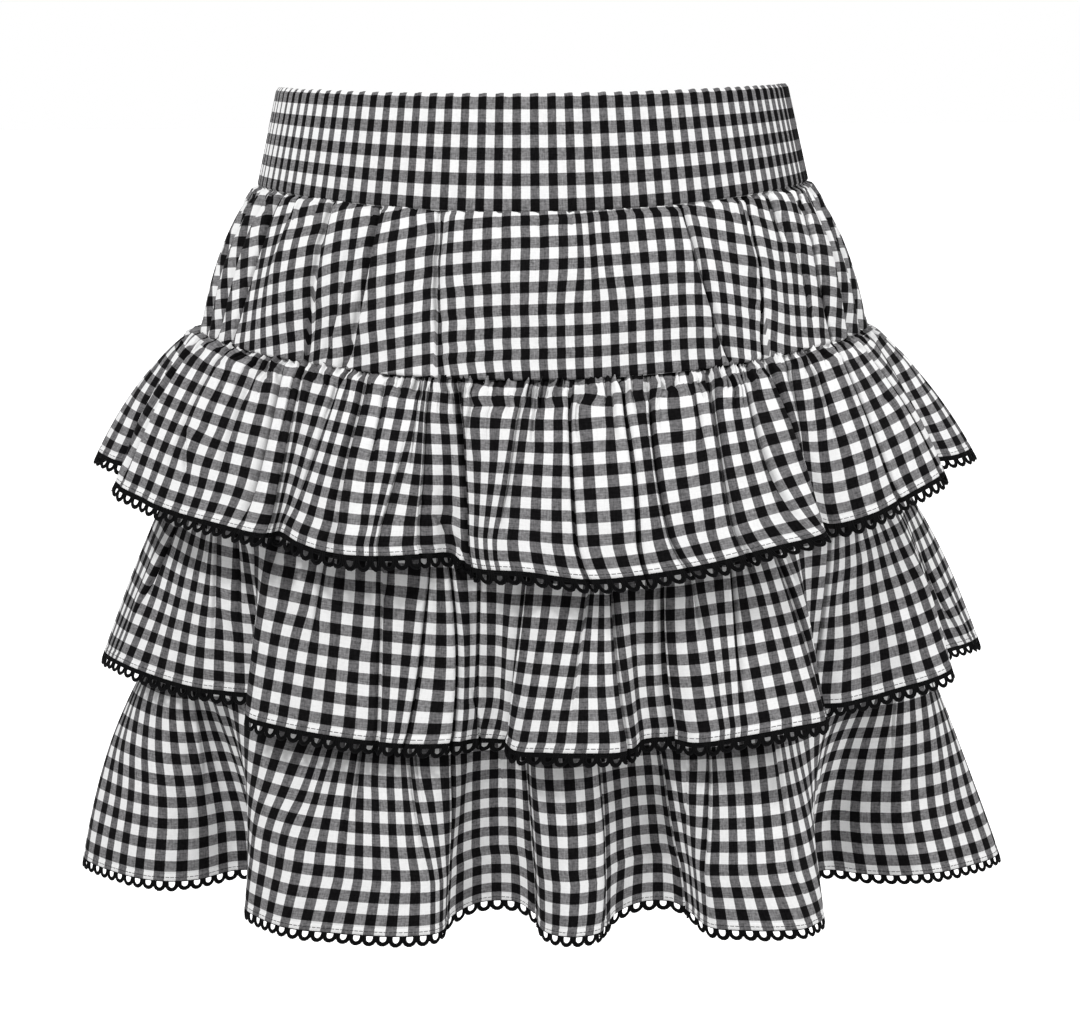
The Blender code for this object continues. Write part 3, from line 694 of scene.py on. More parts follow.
def stepped_checks(points, guides, knots, place, rows, carry, rise_in):
    """How far the checks slip up the cloth, in metres: between two creases the rows run square
    to the columns and rise towards the middle by a part of their length, and at each crease
    they step back, as far as it is deep."""
    across = np.gradient(points, axis=1)
    fall = np.gradient(points, axis=0)
    length = np.linalg.norm(across, axis=-1)
    along = (fall * across).sum(axis=-1) / length
    square = np.linalg.norm(fall - across * (along / length)[..., None], axis=-1)
    inward = rise_in * np.cos(math.pi * place / place[-1])
    tilt = -(SKEW * carry * along / square + inward) * length
    rise = running(tilt)[:, :-1]
    shown = [np.ones(len(rows))]
    shown += [shown_of(guide, rows) * min(-guide.depth / FULL_STEP, 1.0) for guide in guides]
    shown += [np.ones(len(rows))]
    columns = np.searchsorted(place, knots).clip(0, len(place) - 1)
    slip = np.zeros_like(rise)
    for index in range(len(knots) - 1):
        low, high = columns[index], max(columns[index + 1], columns[index] + 1)
        panel = rise[:, low:high]
        panel = panel - panel.mean(axis=1, keepdims=True)
        gap = knots[index + 1] - knots[index]
        part = (place[None, low:high] - knots[index]) / gap
        weight = shown[index][:, None] * (1 - part) + shown[index + 1][:, None] * part
        slip[:, low:high] = panel * weight * min(STEP_REACH / gap, 1.0)
    return slip


def tucked_checks(guides, knots, place, rows, tucked):
    """How far the checks slip along the cloth, in millimetres: near the gathered edge those
    between two creases are wider by a part of their size, tucked, and the creases hide the
    rest."""
    shown = [np.ones(len(rows))]
    shown += [shown_of(guide, rows) for guide in guides]
    shown += [np.ones(len(rows))]
    loss = tucked * (1 - soft_step(rows, *TUCKED_FADE))
    slip = np.zeros((len(rows), len(place)))
    for index in range(len(knots) - 1):
        low, high = np.searchsorted(place, (knots[index], knots[index + 1]))
        gap = knots[index + 1] - knots[index]
        part = (place[low:high] - knots[index]) / gap
        folded = (soft_step(part, 0, TUCK_REACH) + soft_step(part, 1 - TUCK_REACH, 1)) / 2
        weight = loss * np.minimum(shown[index], shown[index + 1])
        slip[:, low:high] = gap * weight[:, None] * (folded - part)
    return slip


Laid = namedtuple("Laid", "points outward place slip drift")


def lay_cloth(surface, start, width, columns, downs, creases=(), guides=(), edges=None,
              seam=None, carry=1.0, rise_in=0.0, tucked=0.0):
    """Points of half a round of cloth that starts at a part of the round.

    Creases lift it off the surface. Gathered cloth has a part, seam, of their depth that shows
    at its upper edge, and its creases are as deep in each row as takes up the cloth. Each row's
    columns draw together where they are steep, because the cloth's own width doesn't change.
    Returns the points, the way outward at each, its place along the cut, and how far its checks
    slip up the cloth and along it.
    """
    place = np.linspace(0, width, columns + 1) / MM
    rows = np.asarray(downs, dtype=float)
    trim = SEAM_GAP / 2
    knots = cut_places(guides, place[-1], carry)
    even = np.broadcast_to(start + trim + place / place[-1] * (0.5 - 2 * trim),
                           (len(rows), len(place)))
    down = np.broadcast_to(rows[:, None], even.shape)
    if seam is None:
        lift = relief_of(creases, place, rows, np.ones(len(rows)))
        puff = np.zeros(len(rows))
    else:
        level = surface(even, down)
        room = np.linalg.norm(np.diff(level, axis=1), axis=-1).sum(axis=1) / width
        upright = [guide._replace(top=knot + (1 - carry) * (guide.top - guide.middle), middle=knot,
                                  bottom=knot + (1 - carry) * (guide.bottom - guide.middle))
                   for guide, knot in zip(guides, knots[1:-1])]
        ease = seam + (1 - seam) * soft_step(rows, 0, SEAM_REACH)
        lift, factor = taken_up([*creases, *upright], place, rows, room, ease)
        puff = PUFF * factor * ease * (1 - soft_step(rows, *PUFF_FADE))
    kept = kept_of(lift, place[1] - place[0])
    along = carried(kept, place, rows, guides, knots, carry)
    along = start + trim + along * (0.5 - 2 * trim)
    points = surface(along, down)
    slip = np.zeros_like(along)
    if guides:
        slip = stepped_checks(points, guides, knots, place, rows, carry, rise_in)
        if not rise_in:
            slip = slip * (1 - soft_step(down, *SLIP_FADE))
    near = 0.5 / columns
    across = surface(along + near, down) - surface(along - near, down)
    inner = np.clip(down, SLOPE_STEP, 1 - SLOPE_STEP)
    fall = surface(along, inner + SLOPE_STEP) - surface(along, inner - SLOPE_STEP)
    outward = unit(np.cross(fall, across))
    lift = lift * MM + puff[:, None]
    if edges is not None:
        lift = lift + edges(down)
    points = points + outward * lift[..., None]
    drift = tucked_checks(guides, knots, place, rows, tucked) * MM
    return Laid(points, outward, np.broadcast_to(width * place / place[-1], along.shape),
                slip, drift)


def checks_over(place, up, checks):
    """Places along a cut and heights up it that make its checks as large as named, where the
    middle's sizes turn into the sides' ones."""
    aside = np.abs(2 * place / place[-1] - 1) ** SIDE_POWER
    wide = checks.wide + (checks.side_wide - checks.wide) * aside
    tall = checks.tall + (checks.side_tall - checks.tall) * aside
    steps = np.diff(place) * 2 / (wide[1:] + wide[:-1])
    return np.broadcast_to(running(steps), up.shape), up / tall


def grid_outward(points):
    """The way outward at each point of a grid whose rows run right and whose columns run down."""
    return unit(np.cross(np.gradient(points, axis=1), -np.gradient(points, axis=0)))


def placed(name, data):
    """A new object made of its data, in the scene."""
    made = bpy.data.objects.new(name, data)
    bpy.context.scene.collection.objects.link(made)
    return made


def grid_object(name, points, cut, edge, finish, thickness):
    """A sheet of cloth over a grid of points, with its cut and its distance from its lower
    edge as UV maps in metres."""
    rows, wide = points.shape[:2]
    index = np.arange(rows * wide).reshape(rows, wide)
    faces = np.stack([index[:-1, :-1], index[1:, :-1], index[1:, 1:], index[:-1, 1:]], axis=-1)
    faces = faces.reshape(-1, 4)
    mesh = bpy.data.meshes.new(name)
    mesh.from_pydata(points.reshape(-1, 3).tolist(), [], faces.tolist())
    for map_name, values in (("cut", cut), ("edge", edge)):
        layer = mesh.uv_layers.new(name=map_name)
        layer.uv.foreach_set("vector", values.reshape(-1, 2)[faces.reshape(-1)].ravel())
    mesh.shade_smooth()
    mesh.materials.append(finish)
    made = placed(name, mesh)
    shell = made.modifiers.new("thickness", "SOLIDIFY")
    shell.thickness = thickness
    shell.offset = -1.0
    shell.use_even_offset = False
    return made


def declare(piece, node):
    """Puts a piece in a CAD node's place and on the skort's one body."""
    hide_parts(node)
    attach(piece, BODY)


def declared_sheet(node, points, maps, finish, thickness):
    """A sheet of cloth in a CAD node's place, with its two UV maps."""
    piece = grid_object(f"{node}_cloth", points, *maps, finish, thickness)
    declare(piece, node)


def pair(along, up):
    """Two values at each point, for a UV map."""
    return np.stack([along, up], axis=-1)


# ---------------------------------------------------------------- materials

def maths_of(operation, turned=False):
    """An operator that adds one Math node to two values, turned round or not."""
    def apply(self, other):
        return self.maths(operation, *((other, self) if turned else (self, other)))

    return apply


class Wire:
    """A socket in arithmetic: each operator adds one Math node."""

    __add__, __radd__ = maths_of("ADD"), maths_of("ADD", turned=True)
    __sub__, __rsub__ = maths_of("SUBTRACT"), maths_of("SUBTRACT", turned=True)
    __mul__, __rmul__ = maths_of("MULTIPLY"), maths_of("MULTIPLY", turned=True)
    below = maths_of("LESS_THAN")
    remainder = maths_of("FLOORED_MODULO")

    def __init__(self, nodes, socket):
        self.nodes = nodes
        self.socket = socket

    def maths(self, operation, *values, clamp=False):
        """The result of a Math node over values and wires."""
        settings = {"operation": operation, "use_clamp": clamp}
        return self.nodes.add("ShaderNodeMath", settings, dict(enumerate(values)))

    def sine(self):
        """The sine of the value."""
        return self.maths("SINE", self)

    def held(self):
        """The value held between 0 and 1."""
        return self.maths("ADD", self, 0.0, clamp=True)

    def size(self):
        """The value without its sign."""
        return self.maths("ABSOLUTE", self)


class Nodes:
    """A node tree that wires are added to."""

    def __init__(self, tree):
        self.tree = tree

    def add(self, kind, settings=None, inputs=None, output=0):
        """Adds a node: its type, its settings first, then its sockets' values or links."""
        node = self.tree.nodes.new(kind)
        for name, value in (settings or {}).items():
            setattr(node, name, value)
        for key, value in (inputs or {}).items():
            self.feed(node.inputs[key], value)
        return Wire(self, node.outputs[output])

    def feed(self, socket, value):
        """Sets a socket to a value, or links a wire to it."""
        if isinstance(value, Wire):
            self.tree.links.new(value.socket, socket)
        else:
            socket.default_value = value

    def uv(self, name):
        """A UV map, its way along and its way up."""
        place = self.add("ShaderNodeUVMap", {"uv_map": name})
        along = self.add("ShaderNodeSeparateXYZ", {}, {0: place})
        return place, along, Wire(self, along.socket.node.outputs[1])

    def seen(self):
        """1 for rays that carry the background to the eye: straight, mirrored or let through."""
        path = self.add("ShaderNodeLightPath").socket.node
        straight, mirrored, through = (
            Wire(self, path.outputs[name])
            for name in ("Is Camera Ray", "Is Glossy Ray", "Is Transmission Ray"))
        return (straight + mirrored + through).held()

    def mix(self, factor, first, second):
        """One colour that turns into another as the factor grows."""
        return self.add("ShaderNodeMix", {"data_type": "RGBA"},
                        {0: factor, 6: first, 7: second}, output=2)

    def scaled(self, colour, factor):
        """A colour, from a wire or a property, made lighter or darker by a factor."""
        if not isinstance(colour, Wire):
            colour = tuple(colour)
        return self.add("ShaderNodeVectorMath", {"operation": "SCALE"}, {0: colour, 3: factor})

    def noise(self, place, scale, detail, stretch=(1.0, 1.0, 1.0)):
        """Uneven values round one half, over a place stretched along its axes."""
        spread = self.add("ShaderNodeVectorMath", {"operation": "MULTIPLY"},
                          {0: place, 1: stretch})
        return self.add("ShaderNodeTexNoise", {}, {"Vector": spread, "Scale": scale,
                                                   "Detail": detail})

    def bump(self, height, distance):
        """A normal from a height and how far it stands out in metres."""
        return self.add("ShaderNodeBump", {}, {"Height": height, "Distance": distance,
                                               "Strength": 1.0})


class MaterialNodes(Nodes):
    """The node tree of one material, with its Principled shader."""

    def __init__(self, name):
        self.material = bpy.data.materials.new(name)
        self.material.use_nodes = True
        super().__init__(self.material.node_tree)
        self.shader = self.tree.nodes["Principled BSDF"]

    def set(self, values):
        """Sets the shader's plain values and links what varies."""
        for name, value in values.items():
            self.feed(self.shader.inputs[name], value)
        return self.material

    def finish(self, shine, colour, uneven, normal):
        """Gives the material its shine, its colour, an uneven roughness and its relief."""
        return self.set({
            "Sheen Weight": shine.sheen, "Sheen Roughness": shine.sheen_roughness,
            "Specular IOR Level": shine.specular, "Base Color": colour, "Normal": normal,
            "Roughness": shine.roughness + (uneven - 0.5) * shine.unevenness})


def opaque(colour):
    """A colour property as four numbers."""
    return (*colour, 1.0)


def stitch_line(edge_x, edge_y, height, length, width):
    """1 on a row of stitches at a height above an edge, and 0 between them."""
    near = ((edge_y - height).size()).below(width / 2)
    dash = (edge_x.remainder(length)).below(length * DASH)
    return near * dash


def gingham_material(name, sizes, colours, stitches=()):
    """Gingham woven in two colours, with rows of topstitching at heights above an edge."""
    nodes = MaterialNodes(name)
    cut, across, up = nodes.uv("cut")
    ragged = nodes.noise(cut, *EDGE_GRAIN)
    column_sine = (across * (math.pi / sizes.check_wide) + (ragged - 0.5) * RAGGED).sine()
    row_sine = (up * (math.pi / sizes.check_tall) + (ragged - 0.5) * RAGGED).sine()
    dark_column = (column_sine * sizes.check_crispness + 0.5).held()
    dark_row = (row_sine * sizes.check_crispness + 0.5).held()
    warp = nodes.noise(cut, *THREAD_GRAIN, (*THREADS, 1.0))
    weft = nodes.noise(cut, *THREAD_GRAIN, (*THREADS[::-1], 1.0))
    slubs = nodes.noise(cut, *SLUB_GRAIN)
    cloudy = nodes.noise(cut, *CLOUD_GRAIN)
    uneven = (warp - 0.5) + (weft - 0.5) + (slubs - 0.5) * SLUBS
    dyed = 1.0 + uneven * sizes.thread_contrast
    light_rows = nodes.mix(dark_column, opaque(colours.white),
                           nodes.scaled(colours.deep_grey, dyed))
    dark_rows = nodes.mix(dark_column, nodes.scaled(colours.pale_grey, dyed),
                          nodes.scaled(colours.black, dyed))
    plain = nodes.mix(dark_row, light_rows, dark_rows)
    shade = 1.0 + uneven * SHADING + (cloudy - 0.5) * sizes.cloudiness
    colour = nodes.scaled(plain, shade)
    over_under = ((across * (math.pi / sizes.thread_pitch)).sine()
                  * (up * (math.pi / sizes.thread_pitch)).sine())
    height = over_under * WEAVE_RELIEF + warp * THREAD_RELIEF + weft * THREAD_RELIEF
    if stitches:
        _, edge_along, edge_up = nodes.uv("edge")
        for stitch_height in stitches:
            on_stitch = stitch_line(edge_along, edge_up, stitch_height,
                                    sizes.stitch_length, sizes.stitch_width)
            colour = nodes.mix(on_stitch * THREAD_SHOWS, colour, opaque(colours.thread))
            height = height + on_stitch * STITCH_RELIEF
    return nodes.finish(COTTON, colour, cloudy, nodes.bump(height, sizes.weave_height))


def lace_material(colours):
    """Black cotton thread, crocheted: fuzzy, a little uneven and faintly glossy."""
    nodes = MaterialNodes("black_lace")
    place = nodes.add("ShaderNodeTexCoord", {}, {}, output=3)
    fuzz = nodes.noise(place, *FUZZ_GRAIN)
    twist = nodes.noise(place, *TWIST_GRAIN)
    colour = nodes.scaled(colours.lace, LACE_DARKEST + fuzz * LACE_UNEVEN)
    normal = nodes.bump(twist * TWIST_RELIEF + fuzz * FUZZ_RELIEF, CORD_RELIEF)
    return nodes.finish(CORD, colour, fuzz, normal)


def jersey_material(sizes, colours):
    """Black knitted jersey with fine ribs and a row of stitches above the hem."""
    nodes = MaterialNodes("black_jersey")
    cut, across, up = nodes.uv("cut")
    ribs = (across * (math.pi / sizes.rib_pitch)).sine().size()
    loops = (up * (math.pi / sizes.rib_pitch)).sine().size()
    cloudy = nodes.noise(cut, *KNIT_GRAIN)
    on_stitch = stitch_line(across, up, JERSEY_STITCH, sizes.stitch_length, sizes.stitch_width)
    plain = nodes.scaled(colours.jersey, JERSEY_DARKEST + cloudy * JERSEY_UNEVEN)
    colour = nodes.mix(on_stitch * JERSEY_THREAD, plain, opaque(colours.thread))
    normal = nodes.bump(ribs * RIB_RELIEF + loops * LOOP_RELIEF + on_stitch, KNIT_RELIEF)
    return nodes.finish(KNIT, colour, cloudy, normal)


# ---------------------------------------------------------------- pieces

def spaced_rows(depth, step, near_top, near_hem):
    """Parts down a cut: close together near both edges and a step in millimetres apart between."""
    start = near_top[-1]
    end = depth - near_hem[-1]
    count = max(int(round((end - start) / step)), 1)
    middle = [start + (end - start) * k / count for k in range(1, count)]
    below = [depth - value for value in reversed(near_hem)]
    return np.array(list(near_top) + middle + below) / depth


def tucked_by(tuck, below):
    """How far an upper edge lies in, in millimetres, at distances below its seam."""
    return (tuck.raw + tuck.to_seam * soft_step(below, TUCK_ABOVE, 0)
            + tuck.below * soft_step(below, 0, tuck.reach))


def turned_hem(points, downs, depth, fold):
    """The cloth with its hem turned up behind it by a fold in millimetres, the height of each
    row in metres, below zero on the turned part, and the number of rows of that part."""
    outward = grid_outward(points)
    up_rows = [len(downs) - 1 - k for k in range(1, len(downs))
               if (1 - downs[-1 - k]) * depth <= fold + TURNED_SPARE]
    turned = [points[-1] - outward[-1] * FOLD_BEHIND + unit(points[-1] - points[-2]) * FOLD_BELOW]
    turned += [points[row] - outward[row] * TURNED_BEHIND for row in up_rows]
    heights = [(1 - down) * depth * MM for down in downs]
    heights += [FOLD_UP] + [-heights[row] for row in up_rows]
    return np.concatenate([points, np.stack(turned)]), np.array(heights), len(turned)


def build_ruffle(number, ruffle, sizes, finish):
    """Both halves of one ruffle. Returns its hem line for the lace."""
    shape = RuffleShape(ruffle)
    hem_lines = []
    depth = ruffle.cut_depth
    width = shape.length / 2 * sizes.ruffle_fullness
    pitches = {"front": sizes.column_pitch * FRONT_PITCH[number - 1],
               "back": sizes.column_pitch * BACK_PITCH}
    downs = spaced_rows(depth, *RUFFLE_ROWS)

    def edges(down):
        """The tuck behind the seam, and the ledge of the turned hem with its stitches."""
        above = (1 - down) * depth
        ledge = -HEM_LEDGE * np.exp(-((above - sizes.hem_depth / MM) / LEDGE_BREADTH) ** 2)
        return (tucked_by(RUFFLE_TUCK, down * depth) + ledge) * MM

    for half, start in HALVES:
        dice = random.Random(f"ruffle {number} {half}")
        columns = int(round(width / pitches[half]))
        creases = rolls(dice, width / MM, *RUFFLE_ROLLS)
        creases += gathers(dice, width / MM, *FINE_GATHERS)
        creases += gathers(dice, width / MM, *LONG_GATHERS[number - 1])
        if half == "front":
            creases += RUFFLE_PINCHES[number - 1]
            guides = RUFFLE_CREASES[number - 1]
        else:
            guides = scattered_creases(dice, width / MM, *RUFFLE_SCATTER[number - 1])
        points, facing, place, slip, drift = lay_cloth(
            shape.surface, start, width, columns, downs, creases, guides, edges, SEAM_SHOWN,
            tucked=ruffle.tucked)
        hem_lines.append((points[-1], points[-1] - points[-2], facing[-1]))
        grid, heights, turned = turned_hem(points, downs, depth, sizes.hem_depth / MM)
        along = np.concatenate([place, place[:turned]], axis=0)
        up = np.broadcast_to(heights[:, None], along.shape)
        phase = (PHASE_STEP * number + PHASE_BACK * (half == "back")) * sizes.check_wide
        moved = np.concatenate([slip, slip[-1:].repeat(turned, axis=0)], axis=0)
        across, tall = checks_over(place[0], up, ruffle.checks)
        across = across + np.concatenate([drift, np.zeros((turned, drift.shape[1]))])
        cut = pair(across + phase, tall + moved + HEM_CHECK * sizes.check_tall)
        declared_sheet(f"ruffle_{number}_{half}", grid, (cut, pair(along, np.abs(up))),
                       finish, sizes.cloth_thickness)
    return hem_lines


class HemLine:
    """The closed line of one ruffle's hem, which its lace follows."""

    def __init__(self, halves):
        line, fall, outward = (np.concatenate(values) for values in zip(*halves))
        self.values = [np.vstack([value, value[:1]]) for value in (line, unit(fall), outward)]
        self.lengths = running(np.linalg.norm(np.diff(self.values[0], axis=0), axis=1))
        self.total = self.lengths[-1]

    def at(self, distance, drop, out):
        """Points at distances along the hem, drops below it and ways out of it."""
        distance = np.mod(distance, self.total)
        spot, down, way = (
            np.stack([np.interp(distance, self.lengths, value[:, k]) for k in range(3)], axis=-1)
            for value in self.values)
        return spot + down * np.asarray(drop)[..., None] + way * np.asarray(out)[..., None]


class CordMesh:
    """Round cords along a hem, gathered in one mesh."""

    def __init__(self, hem, sides, behind):
        self.hem = hem
        self.turns = np.arange(sides) * 2 * math.pi / sides
        self.behind = behind
        self.verts = []
        self.faces = []

    def add(self, along, drop, radius, out=0.0, closed=False):
        """One cord through distances along the hem and drops below it."""
        step_along = np.ones_like(along) if closed else np.gradient(along)
        step_drop = np.zeros_like(drop) if closed else np.gradient(drop)
        size = np.hypot(step_along, step_drop)
        base = len(self.verts)
        sides = len(self.turns)
        rings = []
        for turn in self.turns:
            part = radius * math.cos(turn)
            rings.append(self.hem.at(
                along - step_drop / size * part, drop + step_along / size * part,
                np.full(along.shape, out - self.behind + radius * math.sin(turn))))
        self.verts.extend(np.stack(rings, axis=1).reshape(-1, 3).tolist())
        steps = len(along)
        for step in range(steps if closed else steps - 1):
            here = base + step * sides
            after = base + ((step + 1) % steps) * sides
            for k in range(sides):
                j = (k + 1) % sides
                self.faces.append((here + k, here + j, after + j, after + k))
        if not closed:
            self.faces.append(tuple(base + k for k in reversed(range(sides))))
            self.faces.append(tuple(base + (steps - 1) * sides + k for k in range(sides)))

    def piece(self, name, finish):
        """The object made of all the cords."""
        mesh = bpy.data.meshes.new(name)
        mesh.from_pydata(self.verts, [], self.faces)
        mesh.shade_smooth()
        mesh.materials.append(finish)
        return placed(name, mesh)


def build_lace(number, hem_lines, sizes, finish):
    """The scalloped edging of one ruffle: a header along the hem and a row of hanging scallops,
    each of two cords side by side."""
    hem = HemLine(hem_lines)
    count = int(round(hem.total / sizes.lace_pitch))
    pitch = hem.total / count
    radius = sizes.lace_thread / 4
    cords = CordMesh(hem, LACE_SIDES, LACE_BEHIND)
    dice = random.Random(f"lace {number}")
    lace = LACES[number - 1]
    full_drop = sizes.lace_drop * lace.longer
    post = lace.post * full_drop
    for loop in range(count):
        centre = (loop + 0.5) * pitch + dice.uniform(-LOOP_UNEVEN, LOOP_UNEVEN) * pitch
        drop_by = full_drop * dice.uniform(*DROP_UNEVEN)
        for cord in CORDS:
            inset = radius * cord.inset
            half = pitch / 2 - inset
            low = drop_by - radius - post - inset
            along = np.concatenate([[centre - half], centre - half * np.cos(SCALLOP_TURNS),
                                    [centre + half]])
            drop = np.concatenate([[0.0], post + low * np.sin(SCALLOP_TURNS), [0.0]])
            cords.add(along, drop, radius * CORD_FATTER, cord.out)
    header = hem.lengths[:-1]
    for below in lace.header:
        cords.add(header, np.full(len(header), below * MM), HEADER_RADIUS, closed=True)
    declare(cords.piece(f"lace_{number}_edging", finish), f"lace_{number}")


def arched(place, arch):
    """How far an arch rises at places."""
    return arch.by * soft_step(place, arch.start, arch.end)


def build_yoke(sizes, finish):
    """The yoke in a front and a back, puckered under the waistband."""
    depth = YOKE_DEPTH
    surface = ring_surface(BAND_SEAM, YOKE_SEAM, YOKE_SWELL, folds=YOKE_FOLDS)
    width = YOKE_WIDTH * sizes.yoke_fullness
    downs = spaced_rows(depth, *YOKE_ROWS)

    def edges(down):
        """The tuck under the waistband and the rolled lower edge over the ruffle."""
        above = (1 - down) * depth
        roll = arched(-above, YOKE_OUT) - arched(-above, YOKE_IN)
        return (tucked_by(YOKE_TUCK, down * depth) + roll) * MM

    for half, start in HALVES:
        dice = random.Random(f"yoke {half}")
        pitch = sizes.column_pitch * (1 if half == "front" else BACK_PITCH)
        columns = int(round(width / pitch))
        creases = rolls(dice, width / MM, *YOKE_ROLLS)
        for kind in YOKE_GATHERS:
            creases += gathers(dice, width / MM, *kind)
        puckers = gathers(dice, width / MM, *YOKE_PUCKERS)
        creases += [pucker for pucker in puckers
                    if abs(pucker.top - width / MM / 2) > YOKE_SMOOTH * width / MM]
        if half == "front":
            guides = YOKE_CREASES
        else:
            guides = scattered_creases(dice, width / MM, *YOKE_SCATTER)
        laid = lay_cloth(surface, start, width, columns, downs, creases, guides, edges,
                         SEAM_SHOWN, YOKE_CARRY, YOKE_RISE, YOKE_HIDDEN)
        up = np.broadcast_to(((1 - downs) * depth * MM)[:, None], laid.place.shape)
        part = laid.place / width
        aside = np.abs(2 * part - 1)
        if half == "front":
            arch = np.where(part < 0.5, arched(aside, LEFT_ARCH),
                            arched(aside, RIGHT_ARCH)) * sizes.check_tall
        else:
            arch = BACK_ARCH * sizes.check_tall * np.cos(part * math.pi) ** 2
        level = (YOKE_PHASE - arched(part, RIGHT_DROP)) * sizes.check_tall
        across, tall = checks_over(laid.place[0], up, YOKE_CHECKS)
        middle = across[0, -1] / 2
        across = middle + (across - middle) * (1 + YOKE_FAN * (downs[:, None] - 0.5)) + laid.drift
        cut = pair(across + YOKE_PHASE * sizes.check_wide, tall + laid.slip + level + arch)
        declared_sheet(f"yoke_{half}", laid.points, (cut, pair(laid.place, up)), finish,
                       sizes.cloth_thickness)


def build_band(sizes, finish):
    """The waistband: a casing folded over its elastic, shirred all round."""
    depth = BAND_CHECKS * sizes.check_tall / MM
    surface = ring_surface(BAND_TOP, BAND_SEAM, gap=0.0)
    width = BAND_WIDTH * sizes.band_fullness
    columns = int(round(width / (sizes.check_wide * RIB_CHECKS) * BAND_COLUMNS))
    for half, start in HALVES:
        dice = random.Random(f"band {half}")
        ribs = []
        place = sizes.check_wide / MM * 0.5
        while place < width / MM:
            ribs.append(Crease(place, place, place, RIB_DEPTH * dice.uniform(*UNEVEN_DEPTH),
                               RIB_BREADTH, RIB_BREADTH, -1, 3))
            place += RIB_CHECKS * sizes.check_wide / MM

        def edges(down):
            """The rolled top and bottom of the casing."""
            parts = ((down, *BAND_TOP_ROLL), (1 - down, *BAND_LOW_ROLL))
            return -sum(by * np.exp(-(part * depth / over) ** 2) for part, by, over in parts) * MM

        laid = lay_cloth(surface, start, width, columns, BAND_ROWS, ribs, (), edges)
        points, place = laid.points, laid.place
        rib = relief_of(ribs, place[0] / MM, np.array([0.5]), np.ones(1))[0] * MM
        points[:4, :, 2] += rib[None, :] * RIB_RISE * np.array(RIB_RISES)[:, None]
        inner = points - laid.outward * BAND_THICK
        inner[:, :, 2] = points[:, :, 2]
        over = [points[0] * shoulder.outer + inner[0] * shoulder.inner
                + np.array([0, 0, shoulder.rise]) for shoulder in SHOULDERS]
        grid = np.concatenate([inner[BAND_INSIDE][::-1], np.stack(over), points], axis=0)
        heights = np.concatenate([-(1 - BAND_ROWS[BAND_INSIDE][::-1]) * depth * MM,
                                  [depth * MM] * len(over), (1 - BAND_ROWS) * depth * MM])
        heights[:len(BAND_INSIDE)] = 2 * depth * MM + heights[:len(BAND_INSIDE)]
        along = np.broadcast_to(place[:1], grid.shape[:2])
        up = np.broadcast_to(heights[:, None], along.shape)
        rows_shown = up * (1 + (BAND_CAP + BAND_SLIVER) * MM / (depth * MM)) - BAND_SLIVER * MM
        cut = pair(along + BAND_PHASE * sizes.check_wide, rows_shown)
        declared_sheet(f"waistband_{half}", grid, (cut, pair(along, up)), finish,
                       sizes.cloth_thickness)


def build_base(sizes, finish):
    """The base panels under the ruffles."""
    upper = ring_surface(YOKE_SEAM, RUFFLE_2_SEAM, inset=TURN_IN, gap=BASE_BELOW)
    lower = ring_surface(RUFFLE_2_SEAM, RUFFLE_3_SEAM, inset=TURN_IN, gap=0.0)

    def surface(along, down):
        over = upper(along, np.minimum(down * 2, 1))
        under = lower(along, np.maximum(down * 2 - 1, 0))
        return np.where((down < 0.5)[..., None], over, under)

    downs = np.linspace(0, 1, BASE_ROWS)
    for half, start in HALVES:
        laid = lay_cloth(surface, start, BASE_WIDTH, BASE_COLUMNS, downs)
        points = laid.points - laid.outward * BASE_BEHIND
        up = np.broadcast_to(((1 - downs) * BASE_DEPTH)[:, None], laid.place.shape)
        cut = pair(laid.place, up)
        declared_sheet(f"base_{half}", points, (cut, cut), finish,
                       sizes.cloth_thickness)


def build_shorts(sizes, finish):
    """The inner shorts: one jersey panel for each leg, closed round it by its inseam."""
    heights = len(LEG_RINGS) - 1
    table = np.array(LEG_RINGS)
    for side, sign in (("left", -1), ("right", 1)):
        downs = np.linspace(0, 1, LEG_ROWS)[:, None]
        parts = np.linspace(0, 1, LEG_COLUMNS)[None, :]
        rows = [np.interp(downs * heights, np.arange(heights + 1), table[:, k]) for k in range(5)]
        middle, half_width, half_depth, height, dip = rows
        reach = np.arccos(np.maximum(-middle / half_width, -1.0))
        turn = (reach - SEAM_GAP / MM / half_width) * (2 * parts - 1)
        points = np.stack([sign * (middle + half_width * np.cos(turn)),
                           sign * half_depth * np.sin(turn),
                           height - dip * np.sin(turn) ** 2
                           + SHORTS_RISE * soft_step(-downs, -RISE_OVER, 0)], axis=-1) * MM
        place = np.broadcast_to(parts * SHORTS_WIDTH, points.shape[:2])
        cut = pair(place, np.broadcast_to((1 - downs) * SHORTS_DEPTH, place.shape))
        declared_sheet(f"shorts_{side}", points, (cut, cut), finish,
                       sizes.cloth_thickness * JERSEY_THICKER)


# ---------------------------------------------------------------- stage

